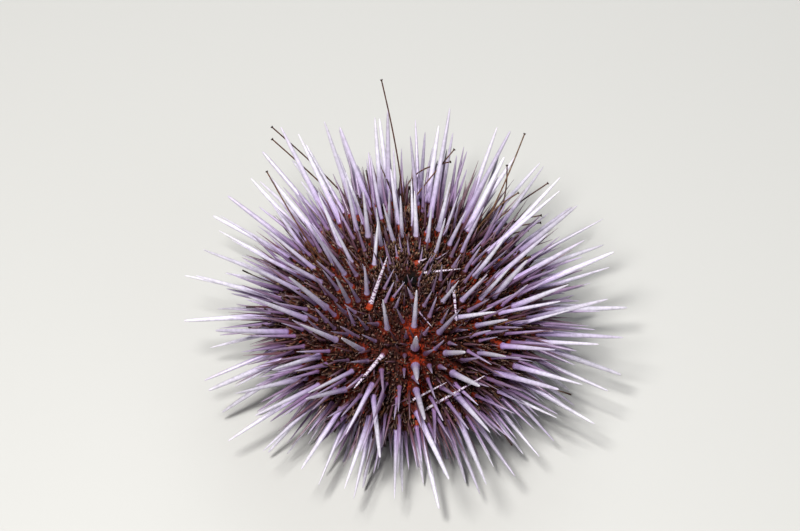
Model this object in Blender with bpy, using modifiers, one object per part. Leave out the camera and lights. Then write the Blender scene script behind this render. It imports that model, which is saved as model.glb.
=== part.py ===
"""A purple sea urchin at life size, standing on the floor on the tips of its lower spines.

Metres, +Z up. The floor is z = 0 and the mouth faces it. The test, the hard globe under the
spines, is divided as the animal itself is: five interambulacra and five ambulacra round the
sides, a disc at the top, and the mouth's disc and the teeth below. Spines and tube feet are
fused to the zone that they grow from.

Angles down from the top are called angles here, and angles round the axis azimuths.
"""

import math
from dataclasses import dataclass

import bmesh
import bpy
import numpy as np
from mathutils import Matrix, Vector

# Driving sizes of the test
TEST_RADIUS = 0.0300
TEST_RISE = 0.0186
TEST_DROP = 0.0126
GIRTH_HEIGHT = 0.0205

# The five-fold division, in degrees
SECTORS = 5
AMBULACRUM_ANGLE = 30.0
INTERAMBULACRUM_ANGLE = 42.0
FIRST_INTERAMBULACRUM = -76.6
GAP = 0.0003

# Discs at the two poles
APICAL_RADIUS = 0.0065
PERISTOME_RADIUS = 0.0105
MOUTH_RADIUS = 0.0030
DISC_DEPTH = 0.0045

# Full length of a primary spine by the angle of its root, in degrees and metres
SPINE_ANGLES = (0, 20, 45, 70, 95, 120, 145, 180)
SPINE_LENGTHS = (0.0095, 0.0140, 0.0200, 0.0234, 0.0224, 0.0182, 0.0128, 0.0080)
PRIMARY_RADIUS = 0.00074
THIN_AT_TOP = 0.70
PRIMARY_SIDES = 5
ROOT_DEPTH = 0.0020
WAIST = 0.5
WAIST_GIRTH = 0.72

# Rows of primary spines: degrees from the zone's middle, share of full length, share of full thickness
ROWS = {
    "interambulacrum": ((-8.7, 1.0, 1.0), (8.7, 1.0, 1.0), (-16.6, 0.90, 0.78), (16.6, 0.90, 0.78)),
    "ambulacrum": ((-6.3, 0.96, 0.86), (6.3, 0.96, 0.86)),
}
ROW_PITCH_ANGLES = (12, 40, 90, 150)
ROW_PITCHES = (0.0042, 0.0054, 0.0054, 0.0044)
# Two rows whose pitch differs from the rest, by sector and degrees from the zone's middle
SET_PITCHES = {(0, -8.7): 1.12, (0, 8.7): 0.88}

# Medium spines, between the rows
MEDIUM_COUNT = 420
MEDIUM_SIDES = 4
MEDIUM_RADII = (0.00042, 0.00056)
MEDIUM_SHARES = (0.42, 0.68)
MEDIUM_SPACING = 0.0024

# The photograph looks along +Y, and down at this slope
VIEW_SLOPE = math.radians(54)
VIEW_RIGHT = np.array([1.0, 0.0, 0.0])
VIEW_UP = np.array([0.0, math.sin(VIEW_SLOPE), math.cos(VIEW_SLOPE)])
TO_VIEWER = np.array([0.0, -math.cos(VIEW_SLOPE), math.sin(VIEW_SLOPE)])

# Spines that stand out in the photograph, the big ones and the slim ones between them: foot and tip
# across and up its view, in millimetres from the girth's middle, and share of full thickness
SEEN_BIG = (
    (1.7, -2.7, 2.3, 6.3, 1.0), (1.9, -7.2, 2.2, -4.2, 1.3), (2.0, -11.0, 2.4, -14.1, 1.3),
    (2.1, -16.4, 4.1, -23.1, 1.0), (1.9, -20.9, 9.7, -37.0, 1.0), (7.2, -3.9, 12.0, 1.6, 1.0),
    (8.8, -8.3, 13.3, -7.8, 1.0), (10.2, -12.7, 16.6, -15.5, 1.1), (11.1, -17.5, 19.0, -26.1, 1.1),
    (11.3, -21.5, 18.3, -38.3, 1.0), (15.9, -2.0, 23.1, -0.4, 0.9), (16.6, -8.2, 22.6, -8.8, 0.9),
    (12.8, 4.6, 17.9, 8.4, 1.0), (15.2, 8.6, 22.8, 18.6, 1.0), (19.9, 8.3, 32.6, 19.3, 1.0),
    (23.9, 8.1, 41.2, 17.8, 1.0), (27.8, 6.4, 48.2, 15.1, 1.1), (24.4, 13.5, 39.7, 25.9, 1.0),
    (17.8, 14.2, 35.6, 29.3, 1.0), (20.2, 15.5, 35.8, 32.5, 1.0), (12.3, 20.9, 24.2, 43.3, 1.0),
    (13.0, 18.8, 22.6, 37.3, 1.2), (5.3, 21.8, 10.1, 48.1, 1.1), (-8.8, 17.8, -10.0, 29.0, 1.1),
    (-4.2, 25.5, -4.4, 48.3, 1.1), (-5.8, 24.6, -7.4, 46.6, 1.0), (-8.0, 24.2, -15.6, 44.3, 1.0),
    (-11.4, 22.4, -19.2, 45.6, 1.1), (-14.6, 20.5, -25.2, 42.6, 1.2), (-17.4, 20.6, -29.4, 44.3, 1.1),
    (-14.8, 15.2, -20.5, 28.8, 1.1), (-18.8, 16.4, -32.0, 32.7, 1.1), (-6.8, 11.5, -4.4, 22.1, 0.9),
    (-9.1, 5.0, -9.6, 11.7, 1.0), (-13.3, 3.3, -16.3, 9.3, 0.9), (-17.9, 1.6, -27.0, 9.3, 1.1),
    (-22.5, -0.7, -36.3, 4.8, 1.0), (-26.8, -3.5, -44.0, -3.0, 1.0), (-15.8, -5.5, -24.2, -1.5, 1.0),
    (-19.6, -8.8, -30.8, -11.9, 1.0), (-7.6, -14.8, -13.9, -26.6, 0.9), (-7.8, -17.4, -6.1, -31.9, 0.9),
)
SEEN_SLIM = (
    (-5.4, 6.1, -2.9, 11.2, 1.0), (-5.3, 3.1, -2.8, 8.3, 1.1), (-3.3, 4.3, -0.5, 8.1, 0.9),
    (7.4, 7.9, 7.9, 12.0, 1.0), (3.9, 2.3, 5.8, 6.0, 1.1), (5.1, -0.3, 6.9, 4.7, 1.1),
    (-12.0, -2.0, -13.7, 2.2, 1.1), (-5.8, -11.7, -5.4, -17.2, 1.1), (5.4, -19.9, 7.5, -25.1, 1.0),
)
MILLIMETRE = 0.001
SEEN_SHARES = (1.0, 0.55)
SEEN_STRETCH = 1.015
SEEN_SPACING = 0.0042
SEEN_NUDGE = 0.02
SEEN_TURN = 0.004

# Odd spines that lie across the others: azimuth and angle of the root, of the way it points, length, radius
STRAYS = (
    (-132.5, 25, 54, 30, 0.0140, 0.00058),
    (-15.5, 22, -87, 77, 0.0130, 0.00050),
    (-104, 43, -121, 80, 0.0140, 0.00055),
    (-87, 84, 4, 48, 0.0220, 0.00034),
    (-90.7, 73, 6, 53, 0.0121, 0.00034),
    (0, 15.5, -23, 56, 0.0078, 0.00030),
)

# How spines lean: splay below the girth, outward lean above it, and drift from place to place
SPLAY = 0.75
OUTWARD = math.radians(4)
LEAN = 0.075
LEAN_AT_TOP = 0.05
TRIES = 60
SPINE_CLEARANCE = 0.00042
FLOOR_CLEARANCE = 0.0006
STANDING_SHARE = 0.8
STANDING_STRETCH = (0.7, 1.12)
STANDING_FROM = math.radians(115)

# Tube feet held out past the spines, which end where the photograph shows their suckers: azimuth and
# angle of the root, the end across and up the view and towards its viewer, in millimetres from the
# girth's middle, and the share of its length over which the foot stands straight out of the test
LONG_FEET = (
    (92, 45, -5.8, 55.1, 3, 0.35),
    (92, 38, 11.0, 38.9, 3, 0.10),
    (92, 55, 10.1, 36.3, -7, 0.60),
    (42, 50, 27.5, 42.5, 4, 0.35),
    (42, 60, 23.6, 35.2, -3, 0.50),
    (42, 45, 25.9, 28.8, 4, 0.50),
    (42, 55, 32.9, 31.1, 0, 0.25),
    (42, 66, 31.4, 23.7, -4, 0.35),
    (42, 73, 31.3, 22.0, -7, 0.35),
    (42, 80, 28.4, 20.2, -10, 0.35),
    (114, 75, -31.5, 44.4, -8, 0.20),
    (114, 88, -31.5, 41.6, -12, 0.20),
    (164, 42, -32.4, 33.6, 10, 0.30),
)
FOOT_RADIUS = 0.00030
FOOT_STEPS = 5
SUCKER_GIRTH = 1.9
SUCKER_DEPTH = 0.0004

# The apical disc's own short spines and the mouth's parts
APICAL_SPINES = 18
APICAL_RINGS = (0.0040, 0.0052)
APICAL_LENGTHS = (0.0042, 0.0075)
APICAL_SPINE_RADIUS = 0.00036
PERIPROCT_RISE = 0.0008
PERIPROCT_RADIUS = 0.0026
MEMBRANE_RECESS = 0.0006
LIP_RADIUS = 0.0045
LIP_DROP = 0.0005
BUCCAL_RING = 0.0070
BUCCAL_SPREAD = 9.0
BUCCAL_LENGTH = 0.0026
TOOTH_ROOT = 0.0017
TOOTH_TIP = 0.0005
TOOTH_REACH = 0.0024

TURN_STEPS = 40
PROFILE_STEPS = 15
FAR = 0.09
UP = np.array([0.0, 0.0, 1.0])

SPINE_COLOUR = (0.42, 0.33, 0.52, 1)
SKIN_COLOUR = (0.16, 0.045, 0.035, 1)
TOOTH_COLOUR = (0.85, 0.83, 0.76, 1)


# Layout: where every spine and tube foot grows, and which way it points


@dataclass
class Spine:
    zone: str
    root: np.ndarray
    aim: np.ndarray
    length: float
    radius: float
    sides: int

    @property
    def tip(self):
        return self.root + self.aim * self.length


class Thicket:
    """The tapering lines placed so far. A tip share of 0 comes to a point, of 1 keeps its thickness."""

    SAMPLES = 24

    def __init__(self):
        self.starts = np.empty((0, 3))
        self.spans = np.empty((0, 3))
        self.radii = np.empty(0)
        self.tips = np.empty(0)

    @staticmethod
    def girth(share, tip):
        return tip + (1 - tip) * np.interp(share, (0, WAIST, 1), (1, WAIST_GIRTH, 0))

    def add(self, start, end, radius, tip=0.0):
        self.starts = np.vstack((self.starts, start))
        self.spans = np.vstack((self.spans, end - start))
        self.radii = np.append(self.radii, radius)
        self.tips = np.append(self.tips, tip)

    def clearance(self, start, end, radius, tip=0.0):
        """The least gap between a new line and those already here."""
        if not len(self.radii):
            return math.inf
        shares = np.linspace(0, 1, self.SAMPLES)
        offsets = (start + np.outer(shares, end - start))[:, None] - self.starts
        along = np.clip((offsets * self.spans).sum(2) / (self.spans**2).sum(1), 0, 1)
        gaps = np.linalg.norm(offsets - along[..., None] * self.spans, axis=2)
        gaps -= self.radii * self.girth(along, self.tips)
        gaps -= (radius * self.girth(shares, tip))[:, None]
        return gaps.min()


def half_height(angle):
    return TEST_RISE if angle < math.pi / 2 else TEST_DROP


def surface(azimuth, angle):
    out = np.array([math.cos(azimuth), math.sin(azimuth), 0.0])
    height = GIRTH_HEIGHT + half_height(angle) * math.cos(angle)
    return out * TEST_RADIUS * math.sin(angle) + UP * height


def aim_from(azimuth, angle, along, sideways):
    """The way a spine points, turned from its usual lie by two small angles."""
    steep = math.atan2(math.sin(angle) / TEST_RADIUS, math.cos(angle) / half_height(angle))
    if angle > math.pi / 2:
        steep += SPLAY * (angle - steep)
    else:
        steep += OUTWARD * math.sin(2 * angle)
    steep += along
    out = np.array([math.cos(azimuth), math.sin(azimuth), 0.0])
    side = np.array([-math.sin(azimuth), math.cos(azimuth), 0.0])
    aim = out * math.sin(steep) + UP * math.cos(steep) + side * math.tan(sideways)
    return aim / np.linalg.norm(aim)


def drift(azimuth, angle):
    """The slow change in lean from place to place, along the meridian and sideways."""
    along = 0.07 * math.sin(2 * azimuth + 3 * angle + 0.7) + 0.05 * math.sin(5 * azimuth - 2 * angle)
    sideways = 0.06 * math.sin(3 * azimuth + 2 * angle + 2.1)
    return along, sideways


def zones():
    """Each zone's name, kind, middle and width in radians."""
    for sector in range(SECTORS):
        middle = FIRST_INTERAMBULACRUM + sector * 360 / SECTORS
        for kind, centre, width in (
            ("interambulacrum", middle, INTERAMBULACRUM_ANGLE),
            ("ambulacrum", middle + 180 / SECTORS, AMBULACRUM_ANGLE),
        ):
            yield f"{kind}_{sector + 1}", kind, math.radians(centre), math.radians(width)


def turn_between(azimuth, middle):
    return (azimuth - middle + math.pi) % (2 * math.pi) - math.pi


def inside_zone(point, middle, width, clear):
    """Whether a point in the test lies this far inside its zone's sides, and off the two discs."""
    reach = math.hypot(point[0], point[1])
    pole = APICAL_RADIUS if point[2] > GIRTH_HEIGHT else PERISTOME_RADIUS
    away = abs(turn_between(math.atan2(point[1], point[0]), middle))
    if away > width / 2:
        return False
    return reach * math.sin(width / 2 - away) > clear + GAP / 2 and reach > pole + GAP + clear


def zone_at(azimuth):
    return next(zone for zone in zones() if abs(turn_between(azimuth, zone[2])) <= zone[3] / 2)


def settle_length(root, aim, length, angle):
    """The spine's length, drawn on to stand on the floor where it nearly does, or else held off it."""
    if aim[2] >= 0:
        return length
    to_floor = -root[2] / aim[2]
    if angle > STANDING_FROM and STANDING_STRETCH[0] < to_floor / length < STANDING_STRETCH[1]:
        return to_floor / STANDING_SHARE
    return min(length, to_floor - FLOOR_CLEARANCE / -aim[2])


def fits(thicket, zone, spine):
    """Whether the spine's sunk root keeps inside its zone and the spine is clear of the others."""
    depths = (spine.root - spine.aim * depth for depth in (0, ROOT_DEPTH / 2, ROOT_DEPTH))
    if not all(inside_zone(point, zone[2], zone[3], spine.radius + GAP) for point in depths):
        return False
    return thicket.clearance(spine.root, spine.tip, spine.radius) > SPINE_CLEARANCE


def try_spine(thicket, zone, azimuth, angle, length, radius, sides, wobble, draw):
    """One spine at this place that is clear of the others, or nothing."""
    root = surface(azimuth, angle)
    along, sideways = drift(azimuth, angle)
    for attempt in range(TRIES):
        spread = wobble * (1 + attempt / TRIES)
        aim = aim_from(azimuth, angle, along + draw.normal(0, spread), sideways + draw.normal(0, spread * 0.7))
        reach = settle_length(root, aim, length * draw.uniform(0.9, 1.06), angle)
        spine = Spine(zone[0], root, aim, reach, radius, sides)
        if fits(thicket, zone, spine):
            thicket.add(root, spine.tip, radius)
            return spine
    return None


def arc_table():
    """Angles from the top to the mouth, and the distance along the test to each."""
    angles = np.linspace(0, math.pi, 721)
    places = np.array([surface(0.0, angle) for angle in angles])
    return angles, np.append(0, np.cumsum(np.linalg.norm(np.diff(places, axis=0), axis=1)))


def full_length(angle):
    return float(np.interp(math.degrees(angle), SPINE_ANGLES, SPINE_LENGTHS))


def thickness(angle):
    """The share of full thickness of a spine with its root at this angle."""
    return THIN_AT_TOP + (1 - THIN_AT_TOP) * math.sin(angle)


def seen_place(across, up):
    """Azimuth and angle of the place on the upper test that the view shows this far across and up.

    A point past the test's outline goes to the outline.
    """
    shape = np.array([1 / TEST_RADIUS, 1 / TEST_RADIUS, 1 / TEST_RISE])
    flat, sight = (VIEW_RIGHT * across + VIEW_UP * up) * shape, TO_VIEWER * shape
    square, half, rest = sight @ sight, flat @ sight, flat @ flat - 1
    place = flat + sight * (math.sqrt(max(half**2 - square * rest, 0)) - half) / square
    place /= np.linalg.norm(place)
    return math.atan2(place[1], place[0]), math.acos(place[2])


def seen_spines(thicket, table, length_share, radius, sides, draw):
    """Spines as the photograph shows them, each leaning to the viewer as far as its length asks."""
    spines = []
    for *ends, girth_share in table:
        foot_across, foot_up, tip_across, tip_up = np.array(ends) * MILLIMETRE
        azimuth, angle = seen_place(foot_across, foot_up)
        zone = zone_at(azimuth)
        span = VIEW_RIGHT * (tip_across - foot_across) + VIEW_UP * (tip_up - foot_up)
        length = max(full_length(angle) * length_share, np.linalg.norm(span) * SEEN_STRETCH)
        aim = (span + TO_VIEWER * math.sqrt(length**2 - span @ span)) / length
        girth = radius * girth_share * thickness(angle)
        for attempt in range(TRIES):
            turned = aim + draw.normal(0, SEEN_TURN * attempt, 3)
            turned /= np.linalg.norm(turned)
            root = surface(azimuth, angle)
            spine = Spine(zone[0], root, turned, settle_length(root, turned, length, angle), girth, sides)
            if fits(thicket, zone, spine):
                thicket.add(root, spine.tip, girth)
                spines.append(spine)
                break
            azimuth += turn_between(zone[2], azimuth) * SEEN_NUDGE
            angle += math.pi / 2 * SEEN_NUDGE / TRIES
    return spines


def stray_spines(thicket):
    """The few odd spines, set before the rest so that the rest keep clear of them."""
    spines = []
    for azimuth, angle, way, slope, length, radius in STRAYS:
        azimuth, angle, way, slope = (math.radians(turn) for turn in (azimuth, angle, way, slope))
        zone = zone_at(azimuth)
        aim = np.array([math.cos(way) * math.sin(slope), math.sin(way) * math.sin(slope), math.cos(slope)])
        spine = Spine(zone[0], surface(azimuth, angle), aim, length, radius, PRIMARY_SIDES)
        thicket.add(spine.root, spine.tip, radius)
        spines.append(spine)
    return spines


def primary_spines(thicket, seen, draw):
    """Rows of primary spines down each zone, off the places of the seen ones."""
    angles, arcs = arc_table()
    seen_roots = np.array([spine.root for spine in seen])
    spines = []
    for index, zone in enumerate(zones()):
        for offset, length_share, girth_share in ROWS[zone[1]]:
            looseness = SET_PITCHES.get((index // 2, offset), draw.uniform(0.92, 1.08))
            arc = APICAL_RADIUS + 0.0012 + draw.uniform(0, 0.002)
            while arc < arcs[-1] - PERISTOME_RADIUS:
                angle = float(np.interp(arc, arcs, angles))
                azimuth = zone[2] + math.radians(offset + draw.normal(0, 0.7))
                length = full_length(angle) * length_share
                radius = PRIMARY_RADIUS * girth_share * draw.uniform(0.88, 1.14) * thickness(angle)
                lean = LEAN + LEAN_AT_TOP * max(math.cos(angle), 0)
                if np.linalg.norm(seen_roots - surface(azimuth, angle), axis=1).min() > SEEN_SPACING:
                    spine = try_spine(thicket, zone, azimuth, angle, length, radius, PRIMARY_SIDES, lean, draw)
                    if spine:
                        spines.append(spine)
                pitch = float(np.interp(math.degrees(angle), ROW_PITCH_ANGLES, ROW_PITCHES))
                arc += pitch * looseness * draw.uniform(0.93, 1.07)
    return spines


def medium_spines(thicket, draw):
    """Medium spines, thrown at the test and kept where they are clear of every other root."""
    angles, arcs = arc_table()
    spines = []
    while len(spines) < MEDIUM_COUNT:
        arc = draw.uniform(APICAL_RADIUS, arcs[-1] - PERISTOME_RADIUS)
        angle = float(np.interp(arc, arcs, angles))
        azimuth = draw.uniform(-math.pi, math.pi)
        length = full_length(angle) * draw.uniform(*MEDIUM_SHARES)
        radius = draw.uniform(*MEDIUM_RADII)
        if draw.uniform() > math.sin(angle):
            continue
        if np.linalg.norm(thicket.starts - surface(azimuth, angle), axis=1).min() < MEDIUM_SPACING:
            continue
        spine = try_spine(thicket, zone_at(azimuth), azimuth, angle, length, radius, MEDIUM_SIDES, 0.11, draw)
        if spine:
            spines.append(spine)
    return spines


def apical_spines(thicket, draw):
    """Two staggered rings of short spines round the vent."""
    spines = []
    for index in range(APICAL_SPINES):
        azimuth = (index + draw.uniform(-0.2, 0.2)) * 2 * math.pi / APICAL_SPINES
        angle = math.asin(APICAL_RINGS[index % 2] / TEST_RADIUS)
        aim = aim_from(azimuth, angle, draw.uniform(0.0, 0.2), draw.normal(0, 0.06))
        length = draw.uniform(*APICAL_LENGTHS)
        spine = Spine("apical_disc", surface(azimuth, angle), aim, length, APICAL_SPINE_RADIUS, MEDIUM_SIDES)
        thicket.add(spine.root, spine.tip, spine.radius)
        spines.append(spine)
    return spines


def foot_path(azimuth, angle, across, up, toward, straight):
    """A tube foot's middle line: straight out of the test, then bending to its end."""
    azimuth, angle = math.radians(azimuth), math.radians(angle)
    root, aim = surface(azimuth, angle), aim_from(azimuth, angle, 0, 0)
    end = UP * GIRTH_HEIGHT + (VIEW_RIGHT * across + VIEW_UP * up + TO_VIEWER * toward) * MILLIMETRE
    bend = root + aim * np.linalg.norm(end - root) * straight
    shares = np.linspace(0, 1, FOOT_STEPS + 1)[:, None]
    curve = root * (1 - shares) ** 2 + bend * 2 * shares * (1 - shares) + end * shares**2
    return [root - aim * ROOT_DEPTH, *curve]


def long_feet(thicket):
    """Each long tube foot's zone and path, and their lines in the thicket."""
    feet = []
    for place in LONG_FEET:
        path = foot_path(*place)
        for start, end in zip(path[1:], path[2:]):
            thicket.add(start, end, FOOT_RADIUS * 1.2, 1.0)
        feet.append((zone_at(math.radians(place[0]))[0], path))
    return feet


# Forms


def material(name, colour, roughness):
    made = bpy.data.materials.new(name)
    made.use_nodes = True
    shader = made.node_tree.nodes["Principled BSDF"]
    shader.inputs["Base Color"].default_value = colour
    shader.inputs["Roughness"].default_value = roughness
    shader.inputs["Metallic"].default_value = 0
    return made


def link(name, mesh, look, collection):
    made = bpy.data.objects.new(name, mesh)
    made.data.materials.append(look)
    collection.objects.link(made)
    return made


def from_form(name, form, look, collection):
    mesh = bpy.data.meshes.new(name)
    form.to_mesh(mesh)
    form.free()
    return link(name, mesh, look, collection)


def turned(name, profile, look, collection, closed=False):
    """A profile of (radius, height) points turned about the axis, with an edge down each middle."""
    start = math.radians(FIRST_INTERAMBULACRUM)
    points = [(r * math.cos(start), r * math.sin(start), z) for r, z in profile]
    edges = [(i, i + 1) for i in range(len(points) - 1)]
    if closed:
        edges.append((len(points) - 1, 0))
    mesh = bpy.data.meshes.new(name)
    mesh.from_pydata(points, edges, [])
    made = link(name, mesh, look, collection)
    screw = made.modifiers.new("turn", "SCREW")
    screw.steps = screw.render_steps = TURN_STEPS
    screw.use_merge_vertices = True
    screw.merge_threshold = 0.00001
    return made


def wedge_cutter(name, middle, width, look, collection):
    """A prism from the axis outwards, half the gap inside the zone's two planes."""
    half = width / 2
    start = GAP / 2 / math.sin(half)
    flat = [(start, 0), (FAR, -(FAR - start) * math.tan(half)), (FAR, (FAR - start) * math.tan(half))]
    form = bmesh.new()
    base = form.faces.new([form.verts.new((x, y, -FAR)) for x, y in flat])
    grown = bmesh.ops.extrude_face_region(form, geom=[base])
    lifted = [v for v in grown["geom"] if isinstance(v, bmesh.types.BMVert)]
    bmesh.ops.translate(form, verts=lifted, vec=(0, 0, 2 * FAR))
    bmesh.ops.rotate(form, verts=form.verts, matrix=Matrix.Rotation(middle, 3, "Z"))
    bmesh.ops.recalc_face_normals(form, faces=form.faces)
    return from_form(name, form, look, collection)


def cone(name, sides, start, end, start_radius, end_radius, look, collection):
    """A cone or post from one point to another."""
    start, end = Vector(start), Vector(end)
    form = bmesh.new()
    bmesh.ops.create_cone(
        form, cap_ends=True, segments=sides, radius1=start_radius, radius2=end_radius, depth=(end - start).length
    )
    turn = (end - start).to_track_quat("Z", "X").to_matrix().to_4x4()
    form.transform(Matrix.Translation((start + end) / 2) @ turn)
    return from_form(name, form, look, collection)


def combine(target, operation, other):
    step = target.modifiers.new(operation.lower(), "BOOLEAN")
    step.operation = operation
    step.object = other
    step.solver = "EXACT"


def settle(target):
    """Applies the object's modifiers."""
    graph = bpy.context.evaluated_depsgraph_get()
    mesh = bpy.data.meshes.new_from_object(target.evaluated_get(graph))
    target.modifiers.clear()
    target.data = mesh


def bisect(form, place, normal, kind, clear_outer=False):
    """Cuts the form at a plane and gives the cut's vertices or edges."""
    whole = form.verts[:] + form.edges[:] + form.faces[:]
    cut = bmesh.ops.bisect_plane(form, geom=whole, plane_co=place, plane_no=normal, clear_outer=clear_outer)
    return [item for item in cut["geom_cut"] if isinstance(item, kind)]


def spine_object(spine, look, collection):
    """A tapering spine, its root sunk in the test, cut level where it meets the floor.

    A primary spine tapers in two lengths, the lower one more slowly.
    """
    form = bmesh.new()
    depth = ROOT_DEPTH + spine.length
    bmesh.ops.create_cone(form, cap_ends=True, segments=spine.sides, radius1=spine.radius, radius2=0, depth=depth)
    bmesh.ops.translate(form, verts=form.verts, vec=(0, 0, depth / 2 - ROOT_DEPTH))
    if spine.sides == PRIMARY_SIDES:
        waist = WAIST * spine.length
        swell = WAIST_GIRTH * depth / (spine.length - waist)
        ring = bisect(form, (0, 0, waist), UP, bmesh.types.BMVert)
        bmesh.ops.scale(form, verts=ring, vec=(swell, swell, 1))
    turn = Vector(spine.aim).to_track_quat("Z", "X").to_matrix().to_4x4()
    form.transform(Matrix.Translation(spine.root) @ turn)
    if spine.tip[2] < 0:
        rim = bisect(form, (0, 0, 0), -UP, bmesh.types.BMEdge, clear_outer=True)
        bmesh.ops.edgeloop_fill(form, edges=rim)
        bmesh.ops.recalc_face_normals(form, faces=form.faces)
    return from_form("spine", form, look, collection)


def foot_object(path, look, collection):
    """A tube foot with the sucker at its end."""
    end = path[-1]
    aim = (end - path[-2]) / np.linalg.norm(end - path[-2])
    points = [*path, end + aim * SUCKER_DEPTH / 4, end + aim * SUCKER_DEPTH]
    girths = [1] * len(path) + [SUCKER_GIRTH, SUCKER_GIRTH]
    curve = bpy.data.curves.new("foot", "CURVE")
    curve.dimensions = "3D"
    curve.bevel_depth = FOOT_RADIUS
    curve.bevel_resolution = 0
    curve.use_fill_caps = True
    spline = curve.splines.new("POLY")
    spline.points.add(len(points) - 1)
    for knot, point, girth in zip(spline.points, points, girths):
        knot.co = (*point, 1)
        knot.radius = girth
    source = link("foot_line", curve, look, collection)
    graph = bpy.context.evaluated_depsgraph_get()
    mesh = bpy.data.meshes.new_from_object(source.evaluated_get(graph))
    bpy.data.objects.remove(source)
    form = bmesh.new()
    form.from_mesh(mesh)
    bmesh.ops.remove_doubles(form, verts=form.verts, dist=0.00001)
    bmesh.ops.recalc_face_normals(form, faces=form.faces)
    return from_form("foot", form, look, collection)


def shells(form):
    """The form's separate closed surfaces, as lists of faces."""
    left = set(form.faces)
    while left:
        shell = [left.pop()]
        for face in shell:
            for edge in face.edges:
                for other in edge.link_faces:
                    if other in left:
                        left.remove(other)
                        shell.append(other)
        yield shell


def keep_largest(target):
    """Drops every closed surface of the object but its largest."""
    form = bmesh.new()
    form.from_mesh(target.data)
    ordered = sorted(shells(form), key=lambda shell: sum(face.calc_area() for face in shell))
    for shell in ordered[:-1]:
        bmesh.ops.delete(form, geom=shell, context="FACES")
    form.to_mesh(target.data)
    form.free()


def fuse(target, growth):
    """Joins a collection of closed pieces to the object and removes them."""
    step = target.modifiers.new("growth", "BOOLEAN")
    step.operation = "UNION"
    step.operand_type = "COLLECTION"
    step.collection = growth
    step.solver = "EXACT"
    settle(target)
    for piece in list(growth.objects):
        bpy.data.objects.remove(piece)
    keep_largest(target)


# Sub-parts


def test_profile():
    points = []
    for angle in np.linspace(0, math.pi, PROFILE_STEPS):
        points.append((TEST_RADIUS * math.sin(angle), GIRTH_HEIGHT + half_height(angle) * math.cos(angle)))
    points[0] = (0, GIRTH_HEIGHT + TEST_RISE)
    points[-1] = (0, GIRTH_HEIGHT - TEST_DROP)
    return points


def side_zone(zone, spines, feet, looks, body, cutters, growth):
    name, _, middle, width = zone
    made = turned(name, test_profile(), looks["spine"], body)
    combine(made, "INTERSECT", wedge_cutter("sides", middle, width, looks["skin"], cutters))
    top = GIRTH_HEIGHT + TEST_RISE - DISC_DEPTH - GAP
    bottom = GIRTH_HEIGHT - TEST_DROP + DISC_DEPTH + GAP
    for radius, low, high in ((APICAL_RADIUS, top, FAR), (PERISTOME_RADIUS, -FAR, bottom)):
        post = cone("pole", TURN_STEPS, (0, 0, low), (0, 0, high), radius + GAP, radius + GAP, looks["skin"], cutters)
        combine(made, "DIFFERENCE", post)
    settle(made)
    for spine in spines:
        if spine.zone == name:
            spine_object(spine, looks["spine"], growth)
    for home, path in feet:
        if home == name:
            foot_object(path, looks["skin"], growth)
    fuse(made, growth)


def apical_disc(spines, looks, body, growth):
    """The disc of small plates round the vent, with its short spines."""
    top = GIRTH_HEIGHT + TEST_RISE

    def dome(radius):
        return GIRTH_HEIGHT + TEST_RISE * math.sqrt(1 - (radius / TEST_RADIUS) ** 2)

    profile = [
        (0, top + PERIPROCT_RISE),
        (PERIPROCT_RADIUS * 0.6, top + PERIPROCT_RISE * 0.7),
        (PERIPROCT_RADIUS, dome(PERIPROCT_RADIUS)),
        (APICAL_RADIUS, dome(APICAL_RADIUS)),
        (APICAL_RADIUS, top - DISC_DEPTH),
        (0, top - DISC_DEPTH),
    ]
    made = turned("apical_disc", profile, looks["skin"], body)
    settle(made)
    for spine in spines:
        if spine.zone == "apical_disc":
            spine_object(spine, looks["spine"], growth)
    fuse(made, growth)


def under(radius):
    """Height of the test's underside at this distance from the axis."""
    return GIRTH_HEIGHT - TEST_DROP * math.sqrt(1 - (radius / TEST_RADIUS) ** 2)


def peristome(looks, body, growth):
    """The soft ring round the mouth: a sunk membrane, a raised lip, and ten stubby feet."""
    roof = GIRTH_HEIGHT - TEST_DROP + DISC_DEPTH
    bore = MOUTH_RADIUS + GAP
    profile = [
        (bore, roof),
        (PERISTOME_RADIUS, roof),
        (PERISTOME_RADIUS, under(PERISTOME_RADIUS)),
        (PERISTOME_RADIUS - 0.0008, under(PERISTOME_RADIUS) + MEMBRANE_RECESS),
        (LIP_RADIUS + 0.0008, under(LIP_RADIUS) + MEMBRANE_RECESS),
        (LIP_RADIUS, under(LIP_RADIUS) - LIP_DROP),
        (bore, under(bore) - LIP_DROP * 0.4),
    ]
    made = turned("peristome", profile, looks["skin"], body, closed=True)
    settle(made)
    root = under(BUCCAL_RING) + MEMBRANE_RECESS
    for sector in range(SECTORS):
        for side in (-1, 1):
            middle = FIRST_INTERAMBULACRUM + (sector + 0.5) * 360 / SECTORS + side * BUCCAL_SPREAD
            out = np.array([math.cos(math.radians(middle)), math.sin(math.radians(middle)), 0.0])
            start = out * BUCCAL_RING + UP * (root + BUCCAL_LENGTH / 3)
            end = out * (BUCCAL_RING + BUCCAL_LENGTH * 0.2) + UP * (root - BUCCAL_LENGTH * 2 / 3)
            cone("buccal_foot", 6, start, end, 0.00055, 0.0007, looks["skin"], growth)
    fuse(made, growth)


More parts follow.
